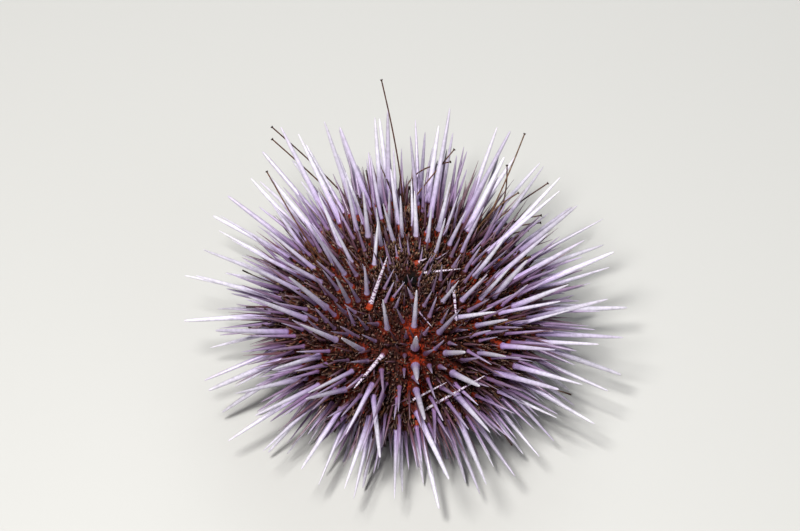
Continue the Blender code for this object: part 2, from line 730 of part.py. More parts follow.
def lantern(looks, body, growth):
    """The five teeth, closing on one point below the mouth."""
    roof = GIRTH_HEIGHT - TEST_DROP + DISC_DEPTH
    floor = under(MOUTH_RADIUS) + GAP
    profile = [(0, roof), (MOUTH_RADIUS, roof), (MOUTH_RADIUS, floor), (0, floor)]
    made = turned("lantern", profile, looks["tooth"], body)
    settle(made)
    for sector in range(SECTORS):
        middle = math.radians(FIRST_INTERAMBULACRUM + sector * 360 / SECTORS)
        out = np.array([math.cos(middle), math.sin(middle), 0.0])
        start = out * TOOTH_ROOT + UP * (floor + 0.0015)
        end = out * TOOTH_TIP + UP * (floor - TOOTH_REACH)
        cone("tooth", 5, start, end, 0.0008, 0.00018, looks["tooth"], growth)
    fuse(made, growth)


def centre_over_origin(objects):
    """Moves the model sideways so that the middle of its box stands over the origin."""
    corners = np.array([tuple(v.co) for made in objects for v in made.data.vertices])
    middle = (corners.min(axis=0) + corners.max(axis=0)) / 2
    for made in objects:
        made.data.transform(Matrix.Translation((-middle[0], -middle[1], 0)))


def main():
    for old in list(bpy.data.objects):
        bpy.data.objects.remove(old)
    body, cutters, growth = (bpy.data.collections.new(name) for name in ("sea_urchin", "cutters", "growth"))
    for group in (body, cutters, growth):
        bpy.context.scene.collection.children.link(group)
    looks = {
        "spine": material("spine", SPINE_COLOUR, 0.55),
        "skin": material("skin", SKIN_COLOUR, 0.6),
        "tooth": material("tooth", TOOTH_COLOUR, 0.35),
    }
    draw = np.random.default_rng(7)
    thicket = Thicket()
    feet = long_feet(thicket)
    spines = stray_spines(thicket)
    spines += seen_spines(thicket, SEEN_BIG, SEEN_SHARES[0], PRIMARY_RADIUS, PRIMARY_SIDES, draw)
    spines += seen_spines(thicket, SEEN_SLIM, SEEN_SHARES[1], MEDIUM_RADII[1], MEDIUM_SIDES, draw)
    seen = list(spines)
    spines += apical_spines(thicket, draw)
    spines += primary_spines(thicket, seen, draw)
    spines += medium_spines(thicket, draw)
    for zone in zones():
        side_zone(zone, spines, feet, looks, body, cutters, growth)
    apical_disc(spines, looks, body, growth)
    peristome(looks, body, growth)
    lantern(looks, body, growth)
    for cutter in list(cutters.objects):
        bpy.data.objects.remove(cutter)
    for group in (cutters, growth):
        bpy.data.collections.remove(group)
    centre_over_origin(body.objects)
    for made in body.objects:
        made.data.shade_smooth()
        made.data.set_sharp_from_angle(angle=math.radians(75))


main()
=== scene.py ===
"""The looks of a purple sea urchin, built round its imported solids.

The layout of the spines and long tube feet is the solids' own, worked out again from the same
sizes and the same seed, so that the spines here stand where their solids do, apart from one odd
spine that starts nearer to the vent. Between them come the animal's smaller spines, its muscle
collars, pincers and tube feet.
"""

import math
from dataclasses import dataclass

import bpy
import numpy as np
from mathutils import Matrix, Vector, noise


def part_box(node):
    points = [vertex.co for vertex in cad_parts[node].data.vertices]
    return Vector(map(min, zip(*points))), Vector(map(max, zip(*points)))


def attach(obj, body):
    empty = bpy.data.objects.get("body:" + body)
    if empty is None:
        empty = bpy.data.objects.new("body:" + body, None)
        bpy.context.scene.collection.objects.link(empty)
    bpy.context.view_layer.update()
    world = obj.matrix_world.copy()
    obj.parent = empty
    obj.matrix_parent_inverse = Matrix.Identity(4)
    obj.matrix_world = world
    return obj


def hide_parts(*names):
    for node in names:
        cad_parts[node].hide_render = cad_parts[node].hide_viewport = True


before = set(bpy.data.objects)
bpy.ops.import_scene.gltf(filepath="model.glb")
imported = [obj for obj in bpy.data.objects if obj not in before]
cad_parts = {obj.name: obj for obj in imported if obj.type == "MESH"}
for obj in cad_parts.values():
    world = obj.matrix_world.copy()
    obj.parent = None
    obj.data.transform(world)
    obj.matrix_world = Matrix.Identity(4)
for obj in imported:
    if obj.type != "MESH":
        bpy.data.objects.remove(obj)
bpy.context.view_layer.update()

# Driving sizes of the test
TEST_RADIUS = 0.0300
TEST_RISE = 0.0186
TEST_DROP = 0.0126
GIRTH_HEIGHT = 0.0205
LAYOUT_SEED = 7

# The five-fold division, in degrees
SECTORS = 5
AMBULACRUM_ANGLE = 30.0
INTERAMBULACRUM_ANGLE = 42.0
FIRST_INTERAMBULACRUM = -76.6
GAP = 0.0003

# Discs at the two poles
APICAL_RADIUS = 0.0065
PERISTOME_RADIUS = 0.0105
MOUTH_RADIUS = 0.0030

# Full length of a primary spine by the angle of its root, in degrees and metres
SPINE_ANGLES = (0, 20, 45, 70, 95, 120, 145, 180)
SPINE_LENGTHS = (0.0095, 0.0140, 0.0200, 0.0234, 0.0224, 0.0182, 0.0128, 0.0080)
PRIMARY_RADIUS = 0.00074
THIN_AT_TOP = 0.70
ROOT_DEPTH = 0.0020
WAIST = 0.5
WAIST_GIRTH = 0.72

# Rows of primary spines: degrees from the zone's middle, share of full length, share of full thickness
ROWS = {
    "interambulacrum": ((-8.7, 1.0, 1.0), (8.7, 1.0, 1.0), (-16.6, 0.90, 0.78), (16.6, 0.90, 0.78)),
    "ambulacrum": ((-6.3, 0.96, 0.86), (6.3, 0.96, 0.86)),
}
ROW_PITCH_ANGLES = (12, 40, 90, 150)
ROW_PITCHES = (0.0042, 0.0054, 0.0054, 0.0044)
# Two rows whose pitch differs from the rest, by sector and degrees from the zone's middle
SET_PITCHES = {(0, -8.7): 1.12, (0, 8.7): 0.88}

# Medium spines, between the rows
MEDIUM_COUNT = 420
MEDIUM_RADII = (0.00042, 0.00056)
MEDIUM_SHARES = (0.42, 0.68)
MEDIUM_SPACING = 0.0024
MEDIUM_LEAN = 0.11

# The photograph looks along +Y, and down at this slope
VIEW_SLOPE = math.radians(54)
VIEW_RIGHT = np.array([1.0, 0.0, 0.0])
VIEW_UP = np.array([0.0, math.sin(VIEW_SLOPE), math.cos(VIEW_SLOPE)])
TO_VIEWER = np.array([0.0, -math.cos(VIEW_SLOPE), math.sin(VIEW_SLOPE)])

# Spines that stand out in the photograph, the big ones and the slim ones between them: foot and tip
# across and up its view, in millimetres from the girth's middle, and share of full thickness
SEEN_BIG = (
    (1.7, -2.7, 2.3, 6.3, 1.0), (1.9, -7.2, 2.2, -4.2, 1.3), (2.0, -11.0, 2.4, -14.1, 1.3),
    (2.1, -16.4, 4.1, -23.1, 1.0), (1.9, -20.9, 9.7, -37.0, 1.0), (7.2, -3.9, 12.0, 1.6, 1.0),
    (8.8, -8.3, 13.3, -7.8, 1.0), (10.2, -12.7, 16.6, -15.5, 1.1), (11.1, -17.5, 19.0, -26.1, 1.1),
    (11.3, -21.5, 18.3, -38.3, 1.0), (15.9, -2.0, 23.1, -0.4, 0.9), (16.6, -8.2, 22.6, -8.8, 0.9),
    (12.8, 4.6, 17.9, 8.4, 1.0), (15.2, 8.6, 22.8, 18.6, 1.0), (19.9, 8.3, 32.6, 19.3, 1.0),
    (23.9, 8.1, 41.2, 17.8, 1.0), (27.8, 6.4, 48.2, 15.1, 1.1), (24.4, 13.5, 39.7, 25.9, 1.0),
    (17.8, 14.2, 35.6, 29.3, 1.0), (20.2, 15.5, 35.8, 32.5, 1.0), (12.3, 20.9, 24.2, 43.3, 1.0),
    (13.0, 18.8, 22.6, 37.3, 1.2), (5.3, 21.8, 10.1, 48.1, 1.1), (-8.8, 17.8, -10.0, 29.0, 1.1),
    (-4.2, 25.5, -4.4, 48.3, 1.1), (-5.8, 24.6, -7.4, 46.6, 1.0), (-8.0, 24.2, -15.6, 44.3, 1.0),
    (-11.4, 22.4, -19.2, 45.6, 1.1), (-14.6, 20.5, -25.2, 42.6, 1.2), (-17.4, 20.6, -29.4, 44.3, 1.1),
    (-14.8, 15.2, -20.5, 28.8, 1.1), (-18.8, 16.4, -32.0, 32.7, 1.1), (-6.8, 11.5, -4.4, 22.1, 0.9),
    (-9.1, 5.0, -9.6, 11.7, 1.0), (-13.3, 3.3, -16.3, 9.3, 0.9), (-17.9, 1.6, -27.0, 9.3, 1.1),
    (-22.5, -0.7, -36.3, 4.8, 1.0), (-26.8, -3.5, -44.0, -3.0, 1.0), (-15.8, -5.5, -24.2, -1.5, 1.0),
    (-19.6, -8.8, -30.8, -11.9, 1.0), (-7.6, -14.8, -13.9, -26.6, 0.9), (-7.8, -17.4, -6.1, -31.9, 0.9),
)
SEEN_SLIM = (
    (-5.4, 6.1, -2.9, 11.2, 1.0), (-5.3, 3.1, -2.8, 8.3, 1.1), (-3.3, 4.3, -0.5, 8.1, 0.9),
    (7.4, 7.9, 7.9, 12.0, 1.0), (3.9, 2.3, 5.8, 6.0, 1.1), (5.1, -0.3, 6.9, 4.7, 1.1),
    (-12.0, -2.0, -13.7, 2.2, 1.1), (-5.8, -11.7, -5.4, -17.2, 1.1), (5.4, -19.9, 7.5, -25.1, 1.0),
)
MILLIMETRE = 0.001
SEEN_SHARES = (1.0, 0.55)
SEEN_STRETCH = 1.015
SEEN_SPACING = 0.0042
SEEN_NUDGE = 0.02
SEEN_TURN = 0.004

# Odd spines that lie across the others: azimuth and angle of the root, of the way it points, length, radius
STRAYS = (
    (-132.5, 25, 54, 30, 0.0140, 0.00058),
    (-15.5, 22, -87, 77, 0.0130, 0.00050),
    (-104, 43, -121, 80, 0.0140, 0.00055),
    (-87, 84, 4, 48, 0.0220, 0.00034),
    (-90.7, 73, 6, 53, 0.0121, 0.00034),
    (0, 15.5, -23, 56, 0.0078, 0.00030),
)

# How spines lean: splay below the girth, outward lean above it, and drift from place to place
SPLAY = 0.75
OUTWARD = math.radians(4)
LEAN = 0.075
LEAN_AT_TOP = 0.05
TRIES = 60
SPINE_CLEARANCE = 0.00042
FLOOR_CLEARANCE = 0.0006
STANDING_SHARE = 0.8
STANDING_STRETCH = (0.7, 1.12)
STANDING_FROM = math.radians(115)

# Tube feet held out past the spines, which end where the photograph shows their suckers: azimuth and
# angle of the root, the end across and up the view and towards its viewer, in millimetres from the
# girth's middle, and the share of its length over which the foot stands straight out of the test
LONG_FEET = (
    (92, 45, -5.8, 55.1, 3, 0.35),
    (92, 38, 11.0, 38.9, 3, 0.10),
    (92, 55, 10.1, 36.3, -7, 0.60),
    (42, 50, 27.5, 42.5, 4, 0.35),
    (42, 60, 23.6, 35.2, -3, 0.50),
    (42, 45, 25.9, 28.8, 4, 0.50),
    (42, 55, 32.9, 31.1, 0, 0.25),
    (42, 66, 31.4, 23.7, -4, 0.35),
    (42, 73, 31.3, 22.0, -7, 0.35),
    (42, 80, 28.4, 20.2, -10, 0.35),
    (114, 75, -31.5, 44.4, -8, 0.20),
    (114, 88, -31.5, 41.6, -12, 0.20),
    (164, 42, -32.4, 33.6, 10, 0.30),
)
FOOT_RADIUS = 0.00030
FOOT_STEPS = 5
SUCKER_GIRTH = 1.9
SUCKER_DEPTH = 0.0004

# The apical disc's own short spines and the mouth's parts
APICAL_SPINES = 18
APICAL_RINGS = (0.0040, 0.0052)
APICAL_LENGTHS = (0.0042, 0.0075)
APICAL_SPINE_RADIUS = 0.00036
PERIPROCT_RISE = 0.0008
PERIPROCT_RADIUS = 0.0026
MEMBRANE_RECESS = 0.0006
BUCCAL_RING = 0.0070
BUCCAL_SPREAD = 9.0
BUCCAL_LENGTH = 0.0026
BUCCAL_RADIUS = 0.0008
TOOTH_ROOT = 0.0017
TOOTH_TIP = 0.0005
TOOTH_REACH = 0.0024
TOOTH_DEPTH = 0.0022
TOOTH_BEND = 0.0005
TOOTH_RADIUS = 0.0008
TOOTH_GIRTHS = (1.0, 1.0, 1.0, 0.98, 0.94, 0.88, 0.78, 0.62, 0.42, 0.18)

UP = np.array([0.0, 0.0, 1.0])


# Layout: where every spine and tube foot grows, and which way it points


@dataclass
class Spine:
    root: np.ndarray
    aim: np.ndarray
    length: float
    radius: float
    zone: str = ""

    @property
    def tip(self):
        return self.root + self.aim * self.length


class Thicket:
    """The tapering lines placed so far. A tip share of 0 comes to a point, of 1 keeps its thickness."""

    SAMPLES = 24

    def __init__(self):
        self.starts = np.empty((0, 3))
        self.spans = np.empty((0, 3))
        self.radii = np.empty(0)
        self.tips = np.empty(0)

    @staticmethod
    def girth(share, tip):
        return tip + (1 - tip) * np.interp(share, (0, WAIST, 1), (1, WAIST_GIRTH, 0))

    def add(self, start, end, radius, tip=0.0):
        self.starts = np.vstack((self.starts, start))
        self.spans = np.vstack((self.spans, end - start))
        self.radii = np.append(self.radii, radius)
        self.tips = np.append(self.tips, tip)

    def clearance(self, start, end, radius, tip=0.0):
        """The least gap between a new line and those already here."""
        if not len(self.radii):
            return math.inf
        shares = np.linspace(0, 1, self.SAMPLES)
        offsets = (start + np.outer(shares, end - start))[:, None] - self.starts
        along = np.clip((offsets * self.spans).sum(2) / (self.spans**2).sum(1), 0, 1)
        gaps = np.linalg.norm(offsets - along[..., None] * self.spans, axis=2)
        gaps -= self.radii * self.girth(along, self.tips)
        gaps -= (radius * self.girth(shares, tip))[:, None]
        return gaps.min()


def half_height(angle):
    return TEST_RISE if angle < math.pi / 2 else TEST_DROP


def level(azimuth):
    """The level direction at this azimuth."""
    return np.array([math.cos(azimuth), math.sin(azimuth), 0.0])


def surface(azimuth, angle):
    """The place on the test at this azimuth and this angle from the top."""
    height = GIRTH_HEIGHT + half_height(angle) * math.cos(angle)
    return level(azimuth) * TEST_RADIUS * math.sin(angle) + UP * height


def aim_from(azimuth, angle, along, sideways):
    """The way a spine points, turned from its usual lie by two small angles."""
    steep = math.atan2(math.sin(angle) / TEST_RADIUS, math.cos(angle) / half_height(angle))
    if angle > math.pi / 2:
        steep += SPLAY * (angle - steep)
    else:
        steep += OUTWARD * math.sin(2 * angle)
    steep += along
    side = np.array([-math.sin(azimuth), math.cos(azimuth), 0.0])
    aim = level(azimuth) * math.sin(steep) + UP * math.cos(steep) + side * math.tan(sideways)
    return aim / np.linalg.norm(aim)


def drift(azimuth, angle):
    """The slow change in lean from place to place, along the meridian and sideways."""
    along = 0.07 * math.sin(2 * azimuth + 3 * angle + 0.7) + 0.05 * math.sin(5 * azimuth - 2 * angle)
    sideways = 0.06 * math.sin(3 * azimuth + 2 * angle + 2.1)
    return along, sideways


def zones():
    """Each zone's name, kind, middle and width in radians."""
    for sector in range(SECTORS):
        middle = FIRST_INTERAMBULACRUM + sector * 360 / SECTORS
        for kind, centre, width in (
            ("interambulacrum", middle, INTERAMBULACRUM_ANGLE),
            ("ambulacrum", middle + 180 / SECTORS, AMBULACRUM_ANGLE),
        ):
            yield f"{kind}_{sector + 1}", kind, math.radians(centre), math.radians(width)


def turn_between(azimuth, middle):
    return (azimuth - middle + math.pi) % (2 * math.pi) - math.pi


def inside_zone(point, middle, width, clear):
    """Whether a point in the test lies this far inside its zone's sides, and off the two discs."""
    reach = math.hypot(point[0], point[1])
    pole = APICAL_RADIUS if point[2] > GIRTH_HEIGHT else PERISTOME_RADIUS
    away = abs(turn_between(math.atan2(point[1], point[0]), middle))
    if away > width / 2:
        return False
    return reach * math.sin(width / 2 - away) > clear + GAP / 2 and reach > pole + GAP + clear


def zone_at(azimuth):
    return next(zone for zone in zones() if abs(turn_between(azimuth, zone[2])) <= zone[3] / 2)


def settle_length(root, aim, length, angle):
    """The spine's length, drawn on to stand on the floor where it nearly does, or else held off it."""
    if aim[2] >= 0:
        return length
    to_floor = -root[2] / aim[2]
    if angle > STANDING_FROM and STANDING_STRETCH[0] < to_floor / length < STANDING_STRETCH[1]:
        return to_floor / STANDING_SHARE
    return min(length, to_floor - FLOOR_CLEARANCE / -aim[2])


def fits(thicket, zone, spine):
    """Whether the spine's sunk root keeps inside its zone and the spine is clear of the others."""
    depths = (spine.root - spine.aim * depth for depth in (0, ROOT_DEPTH / 2, ROOT_DEPTH))
    if not all(inside_zone(point, zone[2], zone[3], spine.radius + GAP) for point in depths):
        return False
    return thicket.clearance(spine.root, spine.tip, spine.radius) > SPINE_CLEARANCE


def try_spine(thicket, zone, azimuth, angle, length, radius, wobble, draw):
    """One spine at this place that is clear of the others, or nothing."""
    root = surface(azimuth, angle)
    along, sideways = drift(azimuth, angle)
    for attempt in range(TRIES):
        spread = wobble * (1 + attempt / TRIES)
        turn = draw.normal(0, spread)
        aim = aim_from(azimuth, angle, along + turn, sideways + draw.normal(0, spread * 0.7))
        reach = settle_length(root, aim, length * draw.uniform(0.9, 1.06), angle)
        spine = Spine(root, aim, reach, radius, zone[0])
        if fits(thicket, zone, spine):
            thicket.add(root, spine.tip, radius)
            return spine
    return None


def arc_table():
    """Angles from the top to the mouth, and the distance along the test to each."""
    angles = np.linspace(0, math.pi, 721)
    places = np.array([surface(0.0, angle) for angle in angles])
    return angles, np.append(0, np.cumsum(np.linalg.norm(np.diff(places, axis=0), axis=1)))


ANGLES, ARCS = arc_table()


def angle_at(arc):
    """The angle of the place that lies this far down the test from its top."""
    return float(np.interp(arc, ARCS, ANGLES))


def full_length(angle):
    return float(np.interp(math.degrees(angle), SPINE_ANGLES, SPINE_LENGTHS))


def thickness(angle):
    """The share of full thickness of a spine with its root at this angle."""
    return THIN_AT_TOP + (1 - THIN_AT_TOP) * math.sin(angle)


def seen_place(across, up):
    """Azimuth and angle of the place on the upper test that the view shows this far across and up.

    A point past the test's outline goes to the outline.
    """
    shape = np.array([1 / TEST_RADIUS, 1 / TEST_RADIUS, 1 / TEST_RISE])
    flat, sight = (VIEW_RIGHT * across + VIEW_UP * up) * shape, TO_VIEWER * shape
    square, half, rest = sight @ sight, flat @ sight, flat @ flat - 1
    place = flat + sight * (math.sqrt(max(half**2 - square * rest, 0)) - half) / square
    place /= np.linalg.norm(place)
    return math.atan2(place[1], place[0]), math.acos(place[2])


def seen_spines(thicket, table, length_share, radius, draw):
    """Spines as the photograph shows them, each leaning to the viewer as far as its length asks."""
    spines = []
    for *ends, girth_share in table:
        foot_across, foot_up, tip_across, tip_up = np.array(ends) * MILLIMETRE
        azimuth, angle = seen_place(foot_across, foot_up)
        zone = zone_at(azimuth)
        span = VIEW_RIGHT * (tip_across - foot_across) + VIEW_UP * (tip_up - foot_up)
        length = max(full_length(angle) * length_share, np.linalg.norm(span) * SEEN_STRETCH)
        aim = (span + TO_VIEWER * math.sqrt(length**2 - span @ span)) / length
        girth = radius * girth_share * thickness(angle)
        for attempt in range(TRIES):
            turned = aim + draw.normal(0, SEEN_TURN * attempt, 3)
            turned /= np.linalg.norm(turned)
            root = surface(azimuth, angle)
            reach = settle_length(root, turned, length, angle)
            spine = Spine(root, turned, reach, girth, zone[0])
            if fits(thicket, zone, spine):
                thicket.add(root, spine.tip, girth)
                spines.append(spine)
                break
            azimuth += turn_between(zone[2], azimuth) * SEEN_NUDGE
            angle += math.pi / 2 * SEEN_NUDGE / TRIES
    return spines


def stray_spines(thicket):
    """The few odd spines, set before the rest so that the rest keep clear of them."""
    spines = []
    for azimuth, angle, way, slope, length, radius in STRAYS:
        azimuth, angle, way, slope = (math.radians(turn) for turn in (azimuth, angle, way, slope))
        aim = level(way) * math.sin(slope) + UP * math.cos(slope)
        spine = Spine(surface(azimuth, angle), aim, length, radius)
        thicket.add(spine.root, spine.tip, radius)
        spines.append(spine)
    return spines


def primary_spines(thicket, seen, draw):
    """Rows of primary spines down each zone, off the places of the seen ones."""
    seen_roots = np.array([spine.root for spine in seen])
    spines = []
    for index, zone in enumerate(zones()):
        for offset, length_share, girth_share in ROWS[zone[1]]:
            looseness = SET_PITCHES.get((index // 2, offset), draw.uniform(0.92, 1.08))
            arc = APICAL_RADIUS + 0.0012 + draw.uniform(0, 0.002)
            while arc < ARCS[-1] - PERISTOME_RADIUS:
                angle = angle_at(arc)
                azimuth = zone[2] + math.radians(offset + draw.normal(0, 0.7))
                length = full_length(angle) * length_share
                radius = PRIMARY_RADIUS * girth_share * draw.uniform(0.88, 1.14) * thickness(angle)
                lean = LEAN + LEAN_AT_TOP * max(math.cos(angle), 0)
                if np.linalg.norm(seen_roots - surface(azimuth, angle), axis=1).min() > SEEN_SPACING:
                    spine = try_spine(thicket, zone, azimuth, angle, length, radius, lean, draw)
                    if spine:
                        spines.append(spine)
                pitch = float(np.interp(math.degrees(angle), ROW_PITCH_ANGLES, ROW_PITCHES))
                arc += pitch * looseness * draw.uniform(0.93, 1.07)
    return spines


def medium_spines(thicket, draw):
    """Medium spines, thrown at the test and kept where they are clear of every other root."""
    spines = []
    while len(spines) < MEDIUM_COUNT:
        angle = angle_at(draw.uniform(APICAL_RADIUS, ARCS[-1] - PERISTOME_RADIUS))
        azimuth = draw.uniform(-math.pi, math.pi)
        length = full_length(angle) * draw.uniform(*MEDIUM_SHARES)
        radius = draw.uniform(*MEDIUM_RADII)
        if draw.uniform() > math.sin(angle):
            continue
        if np.linalg.norm(thicket.starts - surface(azimuth, angle), axis=1).min() < MEDIUM_SPACING:
            continue
        spine = try_spine(thicket, zone_at(azimuth), azimuth, angle, length, radius, MEDIUM_LEAN, draw)
        if spine:
            spines.append(spine)
    return spines


def apical_spines(thicket, draw):
    """Two staggered rings of short spines round the vent."""
    spines = []
    for index in range(APICAL_SPINES):
        azimuth = (index + draw.uniform(-0.2, 0.2)) * 2 * math.pi / APICAL_SPINES
        angle = math.asin(APICAL_RINGS[index % 2] / TEST_RADIUS)
        aim = aim_from(azimuth, angle, draw.uniform(0.0, 0.2), draw.normal(0, 0.06))
        length = draw.uniform(*APICAL_LENGTHS)
        spine = Spine(surface(azimuth, angle), aim, length, APICAL_SPINE_RADIUS)
        thicket.add(spine.root, spine.tip, spine.radius)
        spines.append(spine)
    return spines


def foot_path(azimuth, angle, across, up, toward, straight):
    """A tube foot's middle line: straight out of the test, then bending to its end."""
    azimuth, angle = math.radians(azimuth), math.radians(angle)
    root, aim = surface(azimuth, angle), aim_from(azimuth, angle, 0, 0)
    end = UP * GIRTH_HEIGHT + (VIEW_RIGHT * across + VIEW_UP * up + TO_VIEWER * toward) * MILLIMETRE
    bend = root + aim * np.linalg.norm(end - root) * straight
    shares = np.linspace(0, 1, FOOT_STEPS + 1)[:, None]
    curve = root * (1 - shares) ** 2 + bend * 2 * shares * (1 - shares) + end * shares**2
    return [root - aim * ROOT_DEPTH, *curve]


def long_feet(thicket):
    """Each long tube foot's path, with its line set in the thicket."""
    feet = []
    for place in LONG_FEET:
        path = foot_path(*place)
        for start, end in zip(path[1:], path[2:]):
            thicket.add(start, end, FOOT_RADIUS * 1.2, 1.0)
        feet.append(path)
    return feet


# Sizes of the fine work

FINE_SEED = 11
# Tubes steeper than this are turned from the X axis, and the rest from the Z axis
UPRIGHT = 0.8
# A tube that falls less than this share of its length is cut at the floor as if it fell so much
LEAST_FALL = 0.05
# So many places at once are compared with every root
BATCH = 1000
PRIMARY_RIBS = 12
MEDIUM_RIBS = 7
RIB_DEPTH = 0.07
SHAFT_SHARES = (0.22, 0.32, 0.43, 0.54, 0.65, 0.75, 0.84, 0.91, 0.96, 0.985, 1.0)
# A spine's girth falls by a power of the share left to its tip, which is least on the longest spines
TAPER_LENGTHS = (0.006, 0.020)
SHAFT_TAPERS = (0.68, 0.36)
TAPER_SPREAD = 0.13
TIP_GIRTH = 0.13
# Stations near a spine's base, in radii up from its root, and the girth there as a share of its radius
BASE_STATIONS = (0.0, 1.75, 1.9, 2.25, 2.75, 3.6)
BASE_GIRTHS = (0.60, 0.80, 1.18, 1.32, 1.18, 1.03)
# How dark the lowest stations are, and the room above them, short of which they are drawn together
BASE_DARKENING = (1.0, 1.0, 1.0, 0.4)
BASE_MARGIN = 1.15
# The muscle round the base, in the same measures
COLLAR_STATIONS = (-0.8, 0.0, 0.6, 1.3, 1.9, 2.02)
COLLAR_GIRTHS = (1.9, 1.66, 1.52, 1.40, 1.20, 0.85)
COLLAR_RIBS = 0.10
# Pincers and granules keep this far from a spine's root, in its radii. They stand further off in the
# bare row, which lies so many degrees from its zone's middle, between two angles
COLLAR_CLEAR = 1.75
BARE_CLEAR = 0.0022
BARE_ROW = -8.7
BARE_WIDTH = math.radians(3)
BARE_ANGLES = (math.radians(28), math.radians(72))

# A small spine's girth falls by a power of its length, down to this share at the tip
SMALL_TAPER = 1.4
SMALL_TIP = 0.12
SECONDARY_COUNT = 1900
# Above 1, this makes more of the secondary spines short ones
SECONDARY_SKEW = 1.4
SECONDARY_SHARES = (0.20, 0.62)
SECONDARY_RADII = (0.00026, 0.00044)
SECONDARY_SPACING = 0.0015
SECONDARY_CLEARANCE = 0.0001
# A secondary spine's lean at each of its tries
SECONDARY_LEANS = [0.13 + 0.02 * attempt for attempt in range(10)]
SECONDARY_STATIONS = (-0.05, 0.1, 0.35, 0.6, 0.82, 0.98)
MILIARY_COUNT = 6400
MILIARY_LENGTHS = (0.0013, 0.0034)
MILIARY_RADII = (0.00012, 0.00021)
MILIARY_SPACING = 0.0009
MILIARY_LEAN = 0.22
MILIARY_SHRINK = 0.25
MILIARY_STATIONS = (-0.08, 0.3, 0.7, 0.98)
CROWN_COUNT = 300
CROWN_RADIUS = 0.0080
PINCER_COUNT = 2500
PINCER_LENGTHS = (0.0008, 0.0024)
PINCER_RADII = (0.00020, 0.00030)
PINCER_LEAN = 0.3
PINCER_NECK = 0.9
PINCER_RIBS = 0.32
PINCER_FLOOR_CLEARANCE = 0.0002
GRANULE_COUNT = 9000
GRANULE_LENGTHS = (0.0005, 0.0014)
GRANULE_RADII = (0.00014, 0.00027)
GRANULE_LEAN = 0.35
GRANULE_SHARE_BELOW = 0.35
FOOT_ROWS = (8.5, 10.6, 12.7)
FOOT_ROW_STEP = 0.0008
FOOT_PITCH = 0.0032
FOOT_FROM_DISC = 0.001
THINNING = 0.62
FOOT_ROUNDS = 3
SHORT_FOOT_LENGTHS = (0.0018, 0.0052)
SHORT_FOOT_RADII = (0.00015, 0.00024)
SHORT_FOOT_LEAN = 0.15
SHORT_FOOT_FLOOR_CLEARANCE = 0.0004
SHORT_FOOT_SPACING = 0.0009
SHORT_FOOT_GIRTHS = (1.2, 1.0, 0.9, 0.95, 0.85, 0.9, 0.8, 1.5, 1.4)
# One short foot in so many stands out further, where the spines leave it room
STRETCHED_FOOT_EVERY = 9
STRETCHED_FOOT_LENGTHS = (0.007, 0.014)
STRETCHED_FOOT_LEANS = [0.12 + 0.05 * attempt for attempt in range(8)]
STRETCHED_FOOT_START = 0.001
STRETCHED_FOOT_CLEARANCE = 0.0002
STRETCHED_FOOT_SLACK = 0.2
STANDING_FEET = 60
STANDING_FEET_FROM = math.radians(134)
STANDING_FOOT_SPACING = 0.0011
STANDING_FOOT_STEPS = 12
# Heights on the floor of a standing foot's shaft and of the rings of its sucker
STANDING_SUCKER_HEIGHTS = (0.0009, 0.0008, 0.0003, 0.00002)

# The map: the radius of each half of the skin's unwrap, and the width of a small thing's patch on it
UNWRAP_RADIUS = 0.24
PATCH = 0.003

SKIN_ROWS = (120, 68)
SKIN_COLUMNS = 440
SKIN_SINK = 0.0003
SKIN_ROUGHNESS = 0.00012
MEMBRANE_ROUGHNESS = 0.00008
# Reach and height of the swelling round the roots of primary spines, and of medium ones
PRIMARY_SWELL = (0.0013, 0.0007)
MEDIUM_SWELL = (0.0008, 0.0003)
# Reach and strength of the red round primary spines, round those of the bare row, and round the place
# where the skin is reddest, which is given by its azimuth and angle
PRIMARY_RED = (0.0019, 0.8)
BARE_RED = (0.0026, 1.2)
REDDEST = (0.010, 0.6)
RED_PLACE = (-12, 52)
# How far the mouth and its membrane lie above the test's own shape, and how pale they are, by reach
# from the axis
MOUTH_PROFILE = (
    (0.0000, 0.0034), (0.0022, 0.0030), (0.0029, 0.0009), (0.0034, -0.0003), (0.0042, -0.0006),
    (0.0050, 0.0001), (0.0058, 0.0006), (0.0096, 0.0006), (0.0105, 0.0001), (0.0115, 0.0000),
)
MEMBRANE_PALENESS = ((0.003, 0.2), (0.0045, 0.75), (0.006, 0.45), (0.0105, 0.1))
# Inside this reach the mouth's opening is painted black as shade
MOUTH_EDGE = 0.0028
# The plates of the apical disc and the seams between them
PLATE_RISE = 0.0003
SEAM_DEPTH = 0.0002
SEAM_WIDTH = 0.02
RING_WIDTH = 0.0003
BUMP_SHARE = 0.7
# The vent stands a little to the front of the axis. Shade in its pit is painted dark out to so many times
# its fade
VENT = np.array([0.0010, -0.0030])
VENT_CLEAR = 0.0024
VENT_DEPTH = 0.0022
VENT_RADIUS = 0.0014
VENT_FADE = 0.0010
VENT_FADES = 2.7
# Spines that lie over the apical disc: foot and tip across and up the view and how much nearer the
# viewer the tip is, in millimetres, the radius, and whether it is chalky
DISC_SPINES = (
    (3.1, 10.2, 12.5, 11.2, 2.4, 0.00036, True),
    (2.1, 12.4, 4.6, 13.6, 1.5, 0.00048, True),
    (5.0, 12.2, 9.5, 15.1, 1.0, 0.00042, False),
    (2.6, 1.6, 5.9, -2.3, 1.6, 0.00030, False),
)

# The camera stands off along its line of sight and frames the photograph's view
PHOTO_WIDTH = 800
PHOTO_HEIGHT = 531
PIXELS_PER_METRE = 4270.0
GIRTH_PIXEL = (406.5, 316.6)
CAMERA_DISTANCE = 1.6
SENSOR = 0.036

